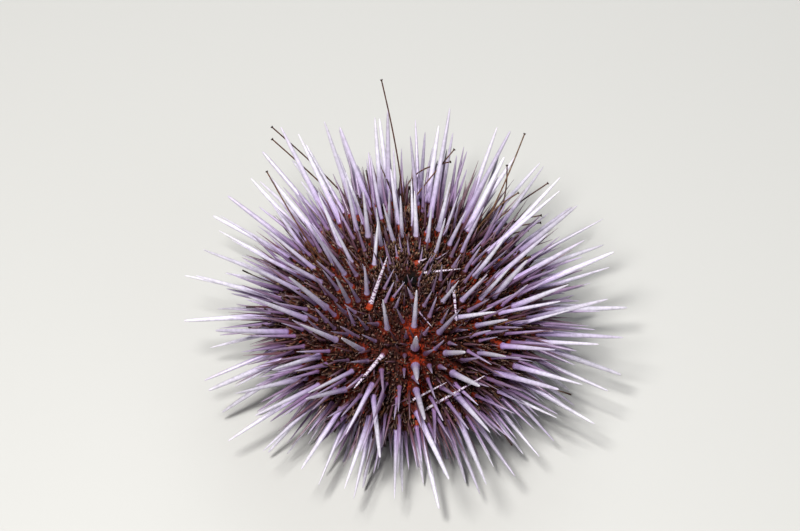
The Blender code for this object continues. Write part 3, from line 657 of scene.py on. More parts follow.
# The stage: each lamp's name, place, width, power and colour, and what the lamps point at
LIGHTS = (
    ("key", (-0.13, -0.25, 0.69), 0.12, 8.3, (1.0, 0.985, 0.96)),
    ("fill", (0.48, -0.30, 0.45), 0.40, 0.6, (0.92, 0.95, 1.0)),
    ("back", (0.10, 0.50, 0.50), 0.40, 1.6, (0.95, 0.97, 1.0)),
)
LIGHT_TARGET = (0, 0, 0.02)
FLOOR_REACH = 4
FLOOR_COLOUR = (0.50, 0.50, 0.485, 1)
SKY_COLOUR = (0.95, 0.94, 0.96, 1)
SKY_STRENGTH = 0.06

# Looks of the spines: the material's name, the odd colour and the most of it that a spine takes, and
# the colours from root to tip
SPINE_LOOKS = {
    "primary": (
        "spine", (0.40, 0.30, 0.52, 1), 0.5,
        (0.00, (0.42, 0.33, 0.48)), (0.10, (0.60, 0.53, 0.70)), (0.26, (0.78, 0.75, 0.88)),
        (0.48, (0.93, 0.95, 0.98)), (1.00, (0.97, 0.99, 0.98)),
    ),
    "medium": (
        "medium_spine", (0.24, 0.15, 0.22, 1), 0.8,
        (0.00, (0.26, 0.14, 0.25)), (0.15, (0.37, 0.26, 0.40)), (0.55, (0.46, 0.36, 0.53)),
        (1.00, (0.70, 0.67, 0.77)),
    ),
    "small": (
        "small_spine", (0.15, 0.07, 0.08, 1), 0.85,
        (0.00, (0.05, 0.015, 0.022)), (0.50, (0.17, 0.080, 0.125)), (1.00, (0.39, 0.29, 0.36)),
    ),
    "miliary": (
        "miliary_spine", (0.24, 0.15, 0.09, 1), 0.75,
        (0.00, (0.028, 0.008, 0.006)), (0.45, (0.11, 0.046, 0.042)), (1.00, (0.36, 0.25, 0.25)),
    ),
}
# Looks of the soft things: the material's name, roughness, scale of its flecks, and colours by chance
FLESH_LOOKS = {
    "collar": (
        "muscle", 0.55, 1800,
        (0.00, (0.030, 0.006, 0.004)), (0.50, (0.075, 0.010, 0.005)), (0.75, (0.22, 0.018, 0.005)),
        (1.00, (0.40, 0.042, 0.009)),
    ),
    "granule": (
        "granule", 0.6, 2600,
        (0.00, (0.012, 0.003, 0.003)), (0.40, (0.070, 0.019, 0.012)), (0.65, (0.15, 0.058, 0.038)),
        (0.80, (0.22, 0.12, 0.085)), (0.88, (0.31, 0.22, 0.19)), (0.93, (0.16, 0.020, 0.009)),
        (1.00, (0.28, 0.034, 0.010)),
    ),
    "pincer": (
        "pincer", 0.45, 2500,
        (0.0, (0.026, 0.008, 0.005)), (0.45, (0.085, 0.034, 0.018)), (0.78, (0.20, 0.12, 0.065)),
        (0.92, (0.33, 0.24, 0.16)), (1.0, (0.36, 0.042, 0.011)),
    ),
    "foot": (
        "tube_foot", 0.35, 900,
        (0.0, (0.09, 0.024, 0.012)), (0.6, (0.16, 0.055, 0.024)), (1.0, (0.24, 0.12, 0.055)),
    ),
    "buccal": ("buccal_foot", 0.35, 1500, (0.0, (0.30, 0.12, 0.09)), (1.0, (0.42, 0.22, 0.17))),
}

AXIS = np.append(np.array(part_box("peristome")).mean(axis=0)[:2], 0.0)
GIRTH_ARC = float(np.interp(math.pi / 2, ANGLES, ARCS))


# Materials


def node(tree, kind, inputs=None, **settings):
    """A shader node. An input given as a socket is linked, and any other value is set."""
    made = tree.nodes.new(kind)
    for key, value in settings.items():
        setattr(made, key, value)
    for key, value in (inputs or {}).items():
        if isinstance(value, bpy.types.NodeSocket):
            tree.links.new(value, made.inputs[key])
        else:
            made.inputs[key].default_value = value
    return made


def blend(tree, share, first, second, mode="MIX"):
    made = node(tree, "ShaderNodeMix", {0: share, 6: first, 7: second}, data_type="RGBA", blend_type=mode)
    return made.outputs[2]


def value_of(tree, name):
    return node(tree, "ShaderNodeAttribute", attribute_name=name).outputs["Fac"]


def maths(tree, operation, *terms, clamp=False):
    inputs = dict(enumerate(terms))
    return node(tree, "ShaderNodeMath", inputs, operation=operation, use_clamp=clamp).outputs[0]


def ramp(tree, share, *stops):
    """A colour by share, through stops of (share, (red, green, blue))."""
    made = node(tree, "ShaderNodeValToRGB", {0: share})
    bar = made.color_ramp.elements
    while len(bar) < len(stops):
        bar.new(0.5)
    for element, (place, colour) in zip(bar, stops):
        element.position = place
        element.color = (*colour, 1)
    return made.outputs[0]


def grey_ramp(tree, share, *stops):
    return ramp(tree, share, *((place, (grey, grey, grey)) for place, grey in stops))


def speckle(tree, scale, detail=3.0, rough=0.6):
    place = node(tree, "ShaderNodeTexCoord").outputs["Object"]
    inputs = {"Vector": place, "Scale": scale, "Detail": detail, "Roughness": rough}
    return node(tree, "ShaderNodeTexNoise", inputs).outputs[0]


def bumped(tree, shader, height, strength, distance):
    made = node(tree, "ShaderNodeBump", {"Height": height, "Strength": strength, "Distance": distance})
    tree.links.new(made.outputs[0], shader.inputs["Normal"])


def flecked(tree, colour, share, grain, dark, light):
    """The colour darkened by a grain, between two stops of (grain, grey)."""
    return blend(tree, share, colour, grey_ramp(tree, grain, dark, light), "MULTIPLY")


def look(name, roughness, specular):
    """A material with its tree and Principled shader to work in."""
    made = bpy.data.materials.new(name)
    made.use_nodes = True
    shader = made.node_tree.nodes["Principled BSDF"]
    shader.inputs["Roughness"].default_value = roughness
    shader.inputs["Specular IOR Level"].default_value = specular
    return made, made.node_tree, shader


def spine_look(name, odd, most, *stops):
    """Spines coloured along their length, each a little its own, with some nearer an odd colour.

    They are painted darker in the grooves as shade, more violet low on the outer ones, and banded on the
    chalky ones.
    """
    made, tree, shader = look(name, 0.32, 0.5)
    colour = ramp(tree, value_of(tree, "along"), *stops)
    oddness = grey_ramp(tree, value_of(tree, "chance"), (0.0, 0.0), (0.6, most * 0.2), (1.0, most))
    colour = blend(tree, oddness, colour, odd)
    light = grey_ramp(tree, value_of(tree, "tone"), (0.0, 0.66), (1.0, 1.0))
    colour = blend(tree, 1.0, colour, light, "MULTIPLY")
    colour = flecked(tree, colour, 0.7, speckle(tree, 900, 4), (0.32, 0.66), (0.6, 1.0))
    # Painted shade: the grooves between the ribs are darkened
    colour = blend(tree, value_of(tree, "groove_shade"), colour, (0.70, 0.60, 0.80, 1), "MULTIPLY")
    low = grey_ramp(tree, value_of(tree, "along"), (0.12, 1.0), (0.55, 0.1))
    violet = maths(tree, "MULTIPLY", low, value_of(tree, "outward"))
    colour = blend(tree, violet, colour, (0.92, 0.80, 1.0, 1), "MULTIPLY")
    wandering = maths(tree, "MULTIPLY", speckle(tree, 900, 2), 16.0)
    wave = maths(tree, "SINE", maths(tree, "MULTIPLY_ADD", value_of(tree, "along"), 95.0, wandering))
    bands = ramp(
        tree,
        maths(tree, "MULTIPLY_ADD", wave, 0.5, 0.5),
        (0.04, (0.08, 0.018, 0.06)),
        (0.14, (0.36, 0.25, 0.36)),
        (0.50, (0.58, 0.52, 0.62)),
    )
    colour = blend(tree, value_of(tree, "chalk"), colour, bands)
    # Darker red-purple at the spine's foot, in and just above its collar
    colour = blend(tree, value_of(tree, "base"), colour, (0.15, 0.03, 0.11, 1))
    tree.links.new(colour, shader.inputs["Base Color"])
    bumped(tree, shader, speckle(tree, 2600, 2), 0.12, 0.0001)
    return made


def skin_look():
    """Dark brown-red skin, mottled with tan and olive, and orange-red where it is bare."""
    made, tree, shader = look("skin", 0.8, 0.12)
    ground = ramp(
        tree,
        speckle(tree, 900, 5, 0.7),
        (0.40, (0.004, 0.001, 0.001)),
        (0.54, (0.022, 0.004, 0.003)),
        (0.64, (0.070, 0.015, 0.007)),
        (0.71, (0.15, 0.045, 0.020)),
        (0.82, (0.26, 0.15, 0.08)),
    )
    red = ramp(
        tree,
        speckle(tree, 1500, 4, 0.7),
        (0.38, (0.02, 0.002, 0.001)),
        (0.50, (0.15, 0.010, 0.002)),
        (0.60, (0.32, 0.026, 0.005)),
        (0.70, (0.42, 0.060, 0.012)),
    )
    patchy = maths(tree, "MULTIPLY_ADD", speckle(tree, 420, 3), 2.4, -0.6, clamp=True)
    colour = blend(tree, maths(tree, "MULTIPLY", patchy, value_of(tree, "red"), clamp=True), ground, red)
    colour = blend(tree, value_of(tree, "pale"), colour, (0.36, 0.22, 0.19, 1))
    # Painted shade: near black in the vent's pit and the mouth's opening, by the value dark
    colour = blend(tree, value_of(tree, "dark"), colour, (0.002, 0.0015, 0.001, 1))
    tree.links.new(colour, shader.inputs["Base Color"])
    bumped(tree, shader, speckle(tree, 1300, 5, 0.65), 0.8, 0.0004)
    return made


def flesh_look(name, roughness, scale, *stops):
    """Damp flesh: a colour for each piece by its own chance, with darker and lighter flecks."""
    made, tree, shader = look(name, roughness, 0.28)
    colour = ramp(tree, value_of(tree, "chance"), *stops)
    colour = flecked(tree, colour, 0.85, speckle(tree, scale), (0.34, 0.35), (0.62, 1.0))
    # Darker by the value dark: painted shade at the roots of pincers and granules, and the own dark of the
    # tube feet's suckers
    colour = blend(tree, value_of(tree, "dark"), colour, (0.014, 0.006, 0.005, 1))
    tree.links.new(colour, shader.inputs["Base Color"])
    bumped(tree, shader, speckle(tree, scale * 2), 0.5, 0.0002)
    return made


def tooth_look():
    """Ivory teeth, browner where they enter the mouth."""
    made, tree, shader = look("teeth", 0.3, 0.5)
    colour = ramp(
        tree,
        value_of(tree, "along"),
        (0.2, (0.42, 0.30, 0.20)),
        (0.6, (0.78, 0.74, 0.63)),
        (1.0, (0.88, 0.87, 0.82)),
    )
    colour = flecked(tree, colour, 0.5, speckle(tree, 1400), (0.35, 0.6), (0.6, 1.0))
    tree.links.new(colour, shader.inputs["Base Color"])
    bumped(tree, shader, speckle(tree, 2500), 0.3, 0.0001)
    return made


# Mesh work


def angles_of(places):
    """Azimuths and angles of places on the test."""
    rise = places[..., 2] - GIRTH_HEIGHT
    cosines = np.clip(rise / np.where(rise > 0, TEST_RISE, TEST_DROP), -1, 1)
    reach = np.hypot(places[..., 0], places[..., 1])
    return np.arctan2(places[..., 1], places[..., 0]), np.arctan2(reach / TEST_RADIUS, cosines)


def unwrap(azimuths, angles, below):
    """Places on the skin's own unwrap: a disc for its upper half and another for its lower half."""
    arcs = np.interp(angles, ANGLES, ARCS)
    reach = np.where(below, (ARCS[-1] - arcs) / (ARCS[-1] - GIRTH_ARC), arcs / GIRTH_ARC) * UNWRAP_RADIUS
    across = np.where(below, 0.75, 0.25) + reach * np.cos(azimuths)
    return np.stack((across, 0.5 + np.where(below, -reach, reach) * np.sin(azimuths)), axis=-1)


def place_piece(name, vertices, faces, material, corner_uv, values):
    """A mesh piece on the animal, with its map and its values for each vertex."""
    mesh = bpy.data.meshes.new(name)
    mesh.from_pydata(vertices + AXIS, [], faces)
    mesh.materials.append(material)
    mesh.shade_smooth()
    corners = np.empty(len(mesh.loops), dtype=np.int32)
    mesh.loops.foreach_get("vertex_index", corners)
    layer = mesh.uv_layers.new(name="OFBake")
    layer.uv.foreach_set("vector", np.asarray(corner_uv(corners), dtype=np.float32).ravel())
    for key, value in values.items():
        made = mesh.attributes.new(key, "FLOAT", "POINT")
        made.data.foreach_set("value", np.asarray(value, dtype=np.float32).ravel())
    piece = bpy.data.objects.new(name, mesh)
    bpy.context.scene.collection.objects.link(piece)
    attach(piece, "root")
    return piece


def unit(vectors):
    return vectors / np.linalg.norm(vectors, axis=-1, keepdims=True)


def lines_up(roots, aims, stations):
    """Each spine's line of points, at its stations up from its root."""
    return roots[:, None] + aims[:, None] * stations[..., None]


def loft_faces(count, rings, sides):
    """Faces of many tubes of the same make, each closed at both ends by a fan."""
    side = np.arange(sides)
    around = (side + 1) % sides
    low = np.arange(rings - 1)[:, None] * sides
    walls = np.stack((low + side, low + around, low + around + sides, low + side + sides), axis=-1)
    top = (rings - 1) * sides
    foot_fan = np.stack((around, side, np.full(sides, rings * sides)), axis=1)
    tip_fan = np.stack((top + side, top + around, np.full(sides, rings * sides + 1)), axis=1)
    starts = (np.arange(count) * (rings * sides + 2))[:, None, None]
    walls = walls.reshape(-1, 4) + starts
    fans = np.vstack((foot_fan, tip_fan)) + starts
    return walls.reshape(-1, 4).tolist() + fans.reshape(-1, 3).tolist()


def lofts(name, lines, girths, sides, material, values, ribs=0.0, dome=0.7):
    """Many tubes as one piece. Each follows a line of points, with a girth at each point.

    Every second corner is drawn in by the share ribs, and what would pass the floor is cut level.
    """
    lines = np.asarray(lines)
    count, rings = lines.shape[:2]
    girths = np.broadcast_to(girths, (count, rings))
    main = unit(lines[:, -1] - lines[:, 0])
    helper = np.where(np.abs(main[:, 2:]) > UPRIGHT, (1.0, 0.0, 0.0), (0.0, 0.0, 1.0))
    across = unit(np.cross(helper, main))[:, None]
    ways = unit(np.gradient(lines, axis=1))
    first = unit(across - ways * (across * ways).sum(-1, keepdims=True))
    second = np.cross(ways, first)
    turns = np.arange(sides) * 2 * math.pi / sides
    ring = first[:, :, None] * np.cos(turns)[:, None] + second[:, :, None] * np.sin(turns)[:, None]
    grooves = 1 - ribs * (np.arange(sides) % 2)
    walls = lines[:, :, None] + ring * (girths[:, :, None] * grooves)[..., None]
    tip = lines[:, -1:] + ways[:, -1:] * girths[:, -1:, None] * dome
    vertices = np.concatenate((walls.reshape(count, -1, 3), lines[:, :1], tip), axis=1)
    sunk = np.minimum(vertices[..., 2:], 0) / np.minimum(main[:, None, 2:], -LEAST_FALL)
    vertices = vertices - main[:, None] * sunk

    azimuths, angles = angles_of(lines[:, 0])
    homes = unwrap(azimuths, angles, angles > math.pi / 2)
    patch = np.empty((rings * sides + 2, 2))
    patch[:-2, 0] = np.tile(np.abs(np.arange(sides) / sides * 2 - 1), rings)
    patch[:-2, 1] = np.repeat(np.linspace(0, 1, rings), sides)
    patch[-2:] = ((0.5, 0.0), (0.5, 1.0))
    places = (homes[:, None] + (patch - 0.5) * PATCH).reshape(-1, 2)

    # The corners that lie in the grooves, where the spines get painted shade
    groove_shade = np.tile(np.arange(sides) % 2, rings) * (ribs > 0)
    spread = {"groove_shade": np.broadcast_to(np.append(groove_shade, (0, 0)), (count, rings * sides + 2))}
    for key, value in values.items():
        value = np.asarray(value, dtype=float)
        if value.ndim == 1:
            value = np.repeat(value[:, None], rings, axis=1)
        spread[key] = np.concatenate((np.repeat(value, sides, axis=1), value[:, :1], value[:, -1:]), axis=1)
    vertices, faces = vertices.reshape(-1, 3), loft_faces(count, rings, sides)
    return place_piece(name, vertices, faces, material, lambda corners: places[corners], spread)


# Spines


def as_arrays(spines):
    """Roots, aims, lengths and radii."""
    keys = ("root", "aim", "length", "radius")
    return tuple(np.array([getattr(spine, key) for spine in spines]) for key in keys)


def build_spines(name, spines, ribs, material, draw, chalky=0.0):
    """Spines with a raised ring at the base. One that stands on the floor is cut level there."""
    roots, aims, lengths, radii = as_arrays(spines)
    to_floor = np.where(aims[:, 2] < 0, roots[:, 2] / np.maximum(-aims[:, 2], 1e-6), math.inf)
    reaches = np.minimum(lengths, to_floor)
    lowest = np.array(BASE_STATIONS) * radii[:, None]
    first = lengths * SHAFT_SHARES[0]
    crowd = np.minimum(first / (lowest[:, -1] * BASE_MARGIN), 1)[:, None]
    stations = np.concatenate((lowest * crowd, reaches[:, None] * np.array(SHAFT_SHARES)), axis=1)
    share = np.clip(stations / lengths[:, None], 0, 1)
    count = len(spines)
    powers = np.interp(lengths, TAPER_LENGTHS, SHAFT_TAPERS) + draw.uniform(-1, 1, count) * TAPER_SPREAD
    taper = np.maximum((1 - share) ** powers[:, None], TIP_GIRTH)
    swell = np.ones_like(taper)
    swell[:, : len(BASE_GIRTHS)] = BASE_GIRTHS
    base = np.zeros(stations.shape)
    base[:, : len(BASE_DARKENING)] = BASE_DARKENING
    values = {
        "along": share,
        "base": base,
        "outward": np.clip(np.hypot(roots[:, 0], roots[:, 1]) / TEST_RADIUS * 2 - 0.7, 0, 1),
        "chance": draw.uniform(0, 1, count),
        "tone": draw.uniform(0, 1, count),
        "chalk": draw.uniform(0, 1, count) < chalky,
    }
    girths = radii[:, None] * taper * swell
    lines = lines_up(roots, aims, stations)
    return lofts(name, lines, girths, ribs * 2, material, values, RIB_DEPTH)


def disc_spines(thicket, chalky):
    """The spines that lie over the apical disc, either the chalky ones or the rest."""
    spines = []
    for foot_across, foot_up, tip_across, tip_up, nearer, radius, is_chalky in DISC_SPINES:
        if is_chalky == chalky:
            root = surface(*seen_place(foot_across * MILLIMETRE, foot_up * MILLIMETRE))
            span = VIEW_RIGHT * (tip_across - foot_across) + VIEW_UP * (tip_up - foot_up)
            span += TO_VIEWER * nearer
            length = np.linalg.norm(span) * MILLIMETRE
            spine = Spine(root, unit(span), length, radius)
            thicket.add(root, spine.tip, radius)
            spines.append(spine)
    return spines


def build_collars(name, spines, sides, material, draw, dull):
    """The cone of muscle that holds each spine's base. The duller they are, the fewer are bright."""
    roots, aims, _, radii = as_arrays(spines)
    lines = lines_up(roots, aims, np.array(COLLAR_STATIONS) * radii[:, None])
    count = len(spines)
    girths = np.array(COLLAR_GIRTHS) * radii[:, None] * draw.uniform(0.92, 1.1, (count, 1))
    values = {"chance": draw.uniform(0, 1, count) ** dull, "dark": np.zeros(count)}
    return lofts(name, lines, girths, sides, material, values, COLLAR_RIBS, dome=0.0)


# Small things over the test


def scattered(count, draw):
    """Azimuths and angles spread evenly over the test, each moved a little."""
    steps = np.diff(ARCS) * np.sin((ANGLES[1:] + ANGLES[:-1]) / 2)
    areas = np.append(0, np.cumsum(steps))
    turn = math.pi * (3 - math.sqrt(5))
    places = []
    for index in range(count):
        share = (index + 0.5 + draw.uniform(-0.5, 0.5)) / count
        angle = float(np.interp(share * areas[-1], areas, ANGLES))
        azimuth = (index * turn + draw.normal(0, 0.02) + math.pi) % (2 * math.pi) - math.pi
        places.append((azimuth, angle))
    return places


def crown_places(draw):
    """Places on and round the apical disc, where the small things stand closest."""
    reaches = CROWN_RADIUS * np.sqrt(draw.uniform(0, 1, CROWN_COUNT))
    turns = draw.uniform(-math.pi, math.pi, CROWN_COUNT)
    return list(zip(turns, np.arcsin(reaches / TEST_RADIUS)))


def batches(places):
    """The places in lots, each small enough to be compared with every root at once."""
    return np.array_split(places, math.ceil(len(places) / BATCH))


def free_places(places, taken, clear):
    """Those places whose roots are this far from every root taken, and off the mouth and the vent."""
    roots = np.array([surface(*place) for place in places])
    gaps = [(np.linalg.norm(part[:, None] - taken, axis=2) - clear).min(axis=1) for part in batches(roots)]
    above = roots[:, 2] > GIRTH_HEIGHT
    off_mouth = above | (np.hypot(roots[:, 0], roots[:, 1]) > PERISTOME_RADIUS)
    off_vent = ~above | (np.linalg.norm(roots[:, :2] - VENT, axis=1) > VENT_CLEAR)
    free = (np.concatenate(gaps) > 0) & off_mouth & off_vent
    return [place for place, good in zip(places, free) if good]


def small_spine(azimuth, angle, length, radius, lean, draw):
    """A small spine that leans at random and stops short of the floor."""
    along, sideways = drift(azimuth, angle)
    aim = aim_from(azimuth, angle, along + draw.normal(0, lean), sideways + draw.normal(0, lean))
    root = surface(azimuth, angle)
    if aim[2] < 0:
        length = min(length, (root[2] - FLOOR_CLEARANCE) / -aim[2])
    return Spine(root, aim, length, radius)


def small_spines(places, lengths, radii, lean, draw, shrink=0.0):
    """Small spines at these places, shorter towards the poles by up to the share shrink."""
    spines = []
    for azimuth, angle in places:
        length = draw.uniform(*lengths) * (1 - shrink + shrink * math.sin(angle))
        spines.append(small_spine(azimuth, angle, length, draw.uniform(*radii), lean, draw))
    return spines


def secondary_spines(thicket, draw):
    """Thin spines between the big ones, each clear of them."""
    least, most = SECONDARY_SHARES
    spines = []
    for azimuth, angle in free_places(scattered(SECONDARY_COUNT, draw), thicket.starts, SECONDARY_SPACING):
        length = full_length(angle) * (least + (most - least) * draw.uniform() ** SECONDARY_SKEW)
        radius = draw.uniform(*SECONDARY_RADII)
        for lean in SECONDARY_LEANS:
            spine = small_spine(azimuth, angle, length, radius, lean, draw)
            if thicket.clearance(spine.root, spine.tip, radius) > SECONDARY_CLEARANCE:
                thicket.add(spine.root, spine.tip, radius)
                spines.append(spine)
                break
    return spines


def miliary_spines(taken, draw):
    """The shortest spines, all over the skin."""
    places = free_places(scattered(MILIARY_COUNT, draw) + crown_places(draw), taken, MILIARY_SPACING)
    return small_spines(places, MILIARY_LENGTHS, MILIARY_RADII, MILIARY_LEAN, draw, MILIARY_SHRINK)


def build_small_spines(name, spines, sides, shares, material, draw):
    """Small spines with a ring of points at each share of their length."""
    roots, aims, lengths, radii = as_arrays(spines)
    count = len(spines)
    lines = lines_up(roots, aims, lengths[:, None] * np.array(shares))
    share = np.broadcast_to(np.clip(shares, 0, 1), (count, len(shares)))
    values = {
        "along": share,
        "chance": draw.uniform(0, 1, count),
        "tone": draw.uniform(0, 1, count),
        "chalk": np.zeros(count),
    }
    girths = radii[:, None] * np.maximum(1 - share**SMALL_TAPER, SMALL_TIP)
    return lofts(name, lines, girths, sides, material, values)


def flesh_values(count, darks, draw):
    """A chance for each of so many soft things, and how dark each is at every ring of points."""
    return {"chance": draw.uniform(0, 1, count), "dark": np.broadcast_to(darks, (count, len(darks)))}


def build_pincers(name, taken, clear, material, draw):
    """Three-jawed pincers on thin stalks, set low among the spines."""
    places = free_places(scattered(PINCER_COUNT, draw) + crown_places(draw), taken, clear)
    pincers = small_spines(places, PINCER_LENGTHS, PINCER_RADII, PINCER_LEAN, draw)
    roots, aims, lengths, radii = as_arrays(pincers)
    stalk = lengths[:, None] * np.array((-0.2, PINCER_NECK))
    head = lengths[:, None] * PINCER_NECK + radii[:, None] * np.array((0.5, 1.4, 2.3, 3.0))
    lines = lines_up(roots, aims, np.concatenate((stalk, head), axis=1))
    lines[..., 2] = np.maximum(lines[..., 2], PINCER_FLOOR_CLEARANCE)
    girths = radii[:, None] * np.array((0.30, 0.30, 0.85, 1.0, 0.7, 0.25))
    # Painted shade: darker down the stalk, towards the skin
    values = flesh_values(len(pincers), (0.75, 0.5, 0.0, 0.0, 0.0, 0.15), draw)
    return lofts(name, lines, girths, 6, material, values, PINCER_RIBS)


def build_granules(name, taken, clear, material, draw):
    """Tips of drawn-in feet and pincers, which leave hardly any skin bare. There are fewer below."""
    places = scattered(GRANULE_COUNT, draw)
    places = [place for place in places if place[1] < math.pi / 2 or draw.uniform() < GRANULE_SHARE_BELOW]
    places = free_places(places + crown_places(draw), taken, clear)
    granules = small_spines(places, GRANULE_LENGTHS, GRANULE_RADII, GRANULE_LEAN, draw)
    roots, aims, lengths, radii = as_arrays(granules)
    lines = lines_up(roots, aims, lengths[:, None] * np.array((-0.4, 0.65, 1.0)))
    girths = radii[:, None] * np.array((0.5, 1.0, 0.6))
    # Painted shade: darker at the foot, in the gaps between granules
    values = flesh_values(len(granules), (0.85, 0.1, 0.0), draw)
    return lofts(name, lines, girths, 5, material, values, dome=0.35)


# Tube feet


def smoothed(points):
    """The line with its corners cut off, over and over."""
    points = np.array(points)
    for _ in range(FOOT_ROUNDS):
        starts, ends = points[:-1], points[1:]
        inner = np.stack((starts * 0.75 + ends * 0.25, starts * 0.25 + ends * 0.75), axis=1)
        points = np.vstack((points[:1], inner.reshape(-1, 3), points[-1:]))
    return points


def build_long_feet(name, feet, material, draw):
    """Feet held out past the spines, slightly wavy in girth, each with its sucker."""
    lines = []
    for path in feet:
        line = smoothed(path)
        end = unit(line[-1] - line[-3])
        sucker = [line[-1] + end * SUCKER_DEPTH * step for step in (0.1, 0.5, 0.95, 1.0)]
        lines.append(np.vstack((line[:-1], sucker)))
    count = len(lines[0]) - 4
    shaft = np.linspace(1.12, 0.88, count) * (1 + 0.07 * np.sin(np.arange(count) * 2.1))
    girths = np.append(shaft, (0.95, 1.7, SUCKER_GIRTH, SUCKER_GIRTH * 0.8)) * (FOOT_RADIUS * THINNING)
    values = flesh_values(len(feet), np.append(np.linspace(0.15, 0.45, count), (0.6, 0.9, 1.0, 1.0)), draw)
    return lofts(name, lines, girths, 10, material, values, 0.06, dome=-0.25)


def foot_places(draw):
    """Roots of the short tube feet: in arcs down both sides of each ambulacrum."""
    places = []
    for _, kind, middle, _ in zones():
        if kind != "ambulacrum":
            continue
        for side in (-1, 1):
            arc = APICAL_RADIUS + FOOT_FROM_DISC
            while arc < ARCS[-1] - PERISTOME_RADIUS - FOOT_FROM_DISC:
                for step, offset in enumerate(FOOT_ROWS):
                    angle = angle_at(arc + step * FOOT_ROW_STEP + draw.normal(0, 0.0002))
                    places.append((middle + side * math.radians(offset + draw.normal(0, 0.4)), angle))
                arc += FOOT_PITCH * draw.uniform(0.85, 1.15)
    return places


def foot_share(angle):
    """The share of full length of a small foot with its root at this angle."""
    return 0.55 + 0.45 * math.sin(angle)


def stretched_foot(azimuth, angle, thicket, draw):
    """A foot's course between the spines, or None where they leave no room for it."""
    length = draw.uniform(*STRETCHED_FOOT_LENGTHS) * foot_share(angle)
    for lean in STRETCHED_FOOT_LEANS:
        foot = small_spine(azimuth, angle, length, SHORT_FOOT_RADII[0], lean, draw)
        start = foot.root + foot.aim * STRETCHED_FOOT_START
        if thicket.clearance(start, foot.tip, foot.radius) > STRETCHED_FOOT_CLEARANCE:
            return foot
    return None


def build_short_feet(name, taken, thicket, material, draw):
    """Slack, wandering tube feet, drawn in among the spines, and some that stand out further."""
    shares = np.linspace(0, 1, len(SHORT_FOOT_GIRTHS))
    lines, girths = [], []
    for index, (azimuth, angle) in enumerate(free_places(foot_places(draw), taken, SHORT_FOOT_SPACING)):
        length = draw.uniform(*SHORT_FOOT_LENGTHS) * foot_share(angle)
        radius = draw.uniform(*SHORT_FOOT_RADII)
        foot = small_spine(azimuth, angle, length, radius, SHORT_FOOT_LEAN, draw)
        slack = 1.0
        if index % STRETCHED_FOOT_EVERY == 0:
            stretched = stretched_foot(azimuth, angle, thicket, draw)
            if stretched:
                foot, slack = stretched, STRETCHED_FOOT_SLACK
        side = unit(np.cross(foot.aim, draw.normal(0, 1, 3)))
        other = np.cross(foot.aim, side)
        sway = np.sin(shares * draw.uniform(2, 6)) * 0.10 * foot.length * slack
        curl = shares**2 * draw.uniform(-0.3, 0.5) * foot.length * slack
        line = foot.root + np.outer(shares * foot.length, foot.aim)
        line = line + np.outer(sway, side) + np.outer(curl, other)
        line[:, 2] = np.maximum(line[:, 2], SHORT_FOOT_FLOOR_CLEARANCE)
        lines.append(line)
        girths.append(foot.radius * np.array(SHORT_FOOT_GIRTHS))
    values = flesh_values(len(lines), (0.2, 0.2, 0.2, 0.25, 0.3, 0.3, 0.4, 0.8, 0.9), draw)
    return lofts(name, lines, girths, 6, material, values, dome=0.2)


def build_standing_feet(name, taken, material, draw):
    """Tube feet under the animal that reach the floor and hold it with their suckers."""
    shares = np.linspace(0, 1, STANDING_FOOT_STEPS + 1)[:, None]
    square, cube = shares**2, shares**3
    lines = []
    places = [place for place in foot_places(draw) if place[1] > STANDING_FEET_FROM]
    for azimuth, angle in free_places(places, taken, STANDING_FOOT_SPACING):
        root = surface(azimuth, angle)
        start = aim_from(azimuth, angle, 0.0, draw.normal(0, 0.15)) * root[2] * 1.5
        foot = root + start * draw.uniform(0.05, 0.25)
        foot[2] = 0.0
        rise = np.array((0.0, 0.0, -root[2] * 1.2))
        line = root * (2 * cube - 3 * square + 1) + foot * (3 * square - 2 * cube)
        line += start * (cube - 2 * square + shares) + rise * (cube - square)
        shaft = line[:-1] + UP * STANDING_SUCKER_HEIGHTS[0]
        lines.append(np.vstack((shaft, foot + np.outer(STANDING_SUCKER_HEIGHTS[1:], UP))))
    lines = lines[:: max(1, len(lines) // STANDING_FEET)]
    girths = np.append(np.linspace(1.15, 0.85, STANDING_FOOT_STEPS), (1.0, 2.3, 2.5)) * FOOT_RADIUS
    darks = np.append(np.linspace(0.15, 0.4, STANDING_FOOT_STEPS), (0.6, 1.0, 1.0))
    values = flesh_values(len(lines), darks, draw)
    return lofts(name, lines, girths, 10, material, values, dome=0.0)


# Skin


def skin_grid():
    """Azimuths and angles of the skin's points, row by row from the top, with one row on the girth."""
    upper, lower = SKIN_ROWS
    arcs = np.append(np.linspace(0, GIRTH_ARC, upper + 1), np.linspace(GIRTH_ARC, ARCS[-1], lower + 1)[1:])
    angles = np.interp(arcs, ARCS, ANGLES)[1:-1]
    azimuths = np.linspace(-math.pi, math.pi, SKIN_COLUMNS, endpoint=False)
    return [part.ravel() for part in np.meshgrid(azimuths, angles)]


def skin_faces():
    """The skin's faces, row by row from the top, and then the fans that close it at its two poles."""
    rows, columns = sum(SKIN_ROWS) - 1, SKIN_COLUMNS
    here = np.arange(columns)
    beside = (here + 1) % columns
    start = np.arange(rows - 1)[:, None] * columns
    below = start + columns
    walls = np.stack((start + here, below + here, below + beside, start + beside), axis=-1)
    last = (rows - 1) * columns
    upper = np.stack((here, beside, np.full(columns, rows * columns)), axis=1)
    lower = np.stack((last + beside, last + here, np.full(columns, rows * columns + 1)), axis=1)
    return walls.reshape(-1, 4).tolist() + upper.tolist() + lower.tolist()


def corners_below():
    """Whether each corner of the skin's faces belongs to its lower half, in the order of the faces."""
    walls = np.repeat(np.arange(sum(SKIN_ROWS) - 2) >= SKIN_ROWS[0] - 1, SKIN_COLUMNS * 4)
    fan = np.ones(SKIN_COLUMNS * 3, bool)
    return np.concatenate((walls, ~fan, fan))


def nearness(places, roots, reach, strength):
    """How near each place is to a root: its full strength on it, and falling away over its reach."""
    shares = []
    for part in batches(places):
        apart = ((part[:, None] - roots) ** 2).sum(axis=2) / reach**2
        shares.append(np.exp(-apart).max(axis=1))
    return np.concatenate(shares) * strength


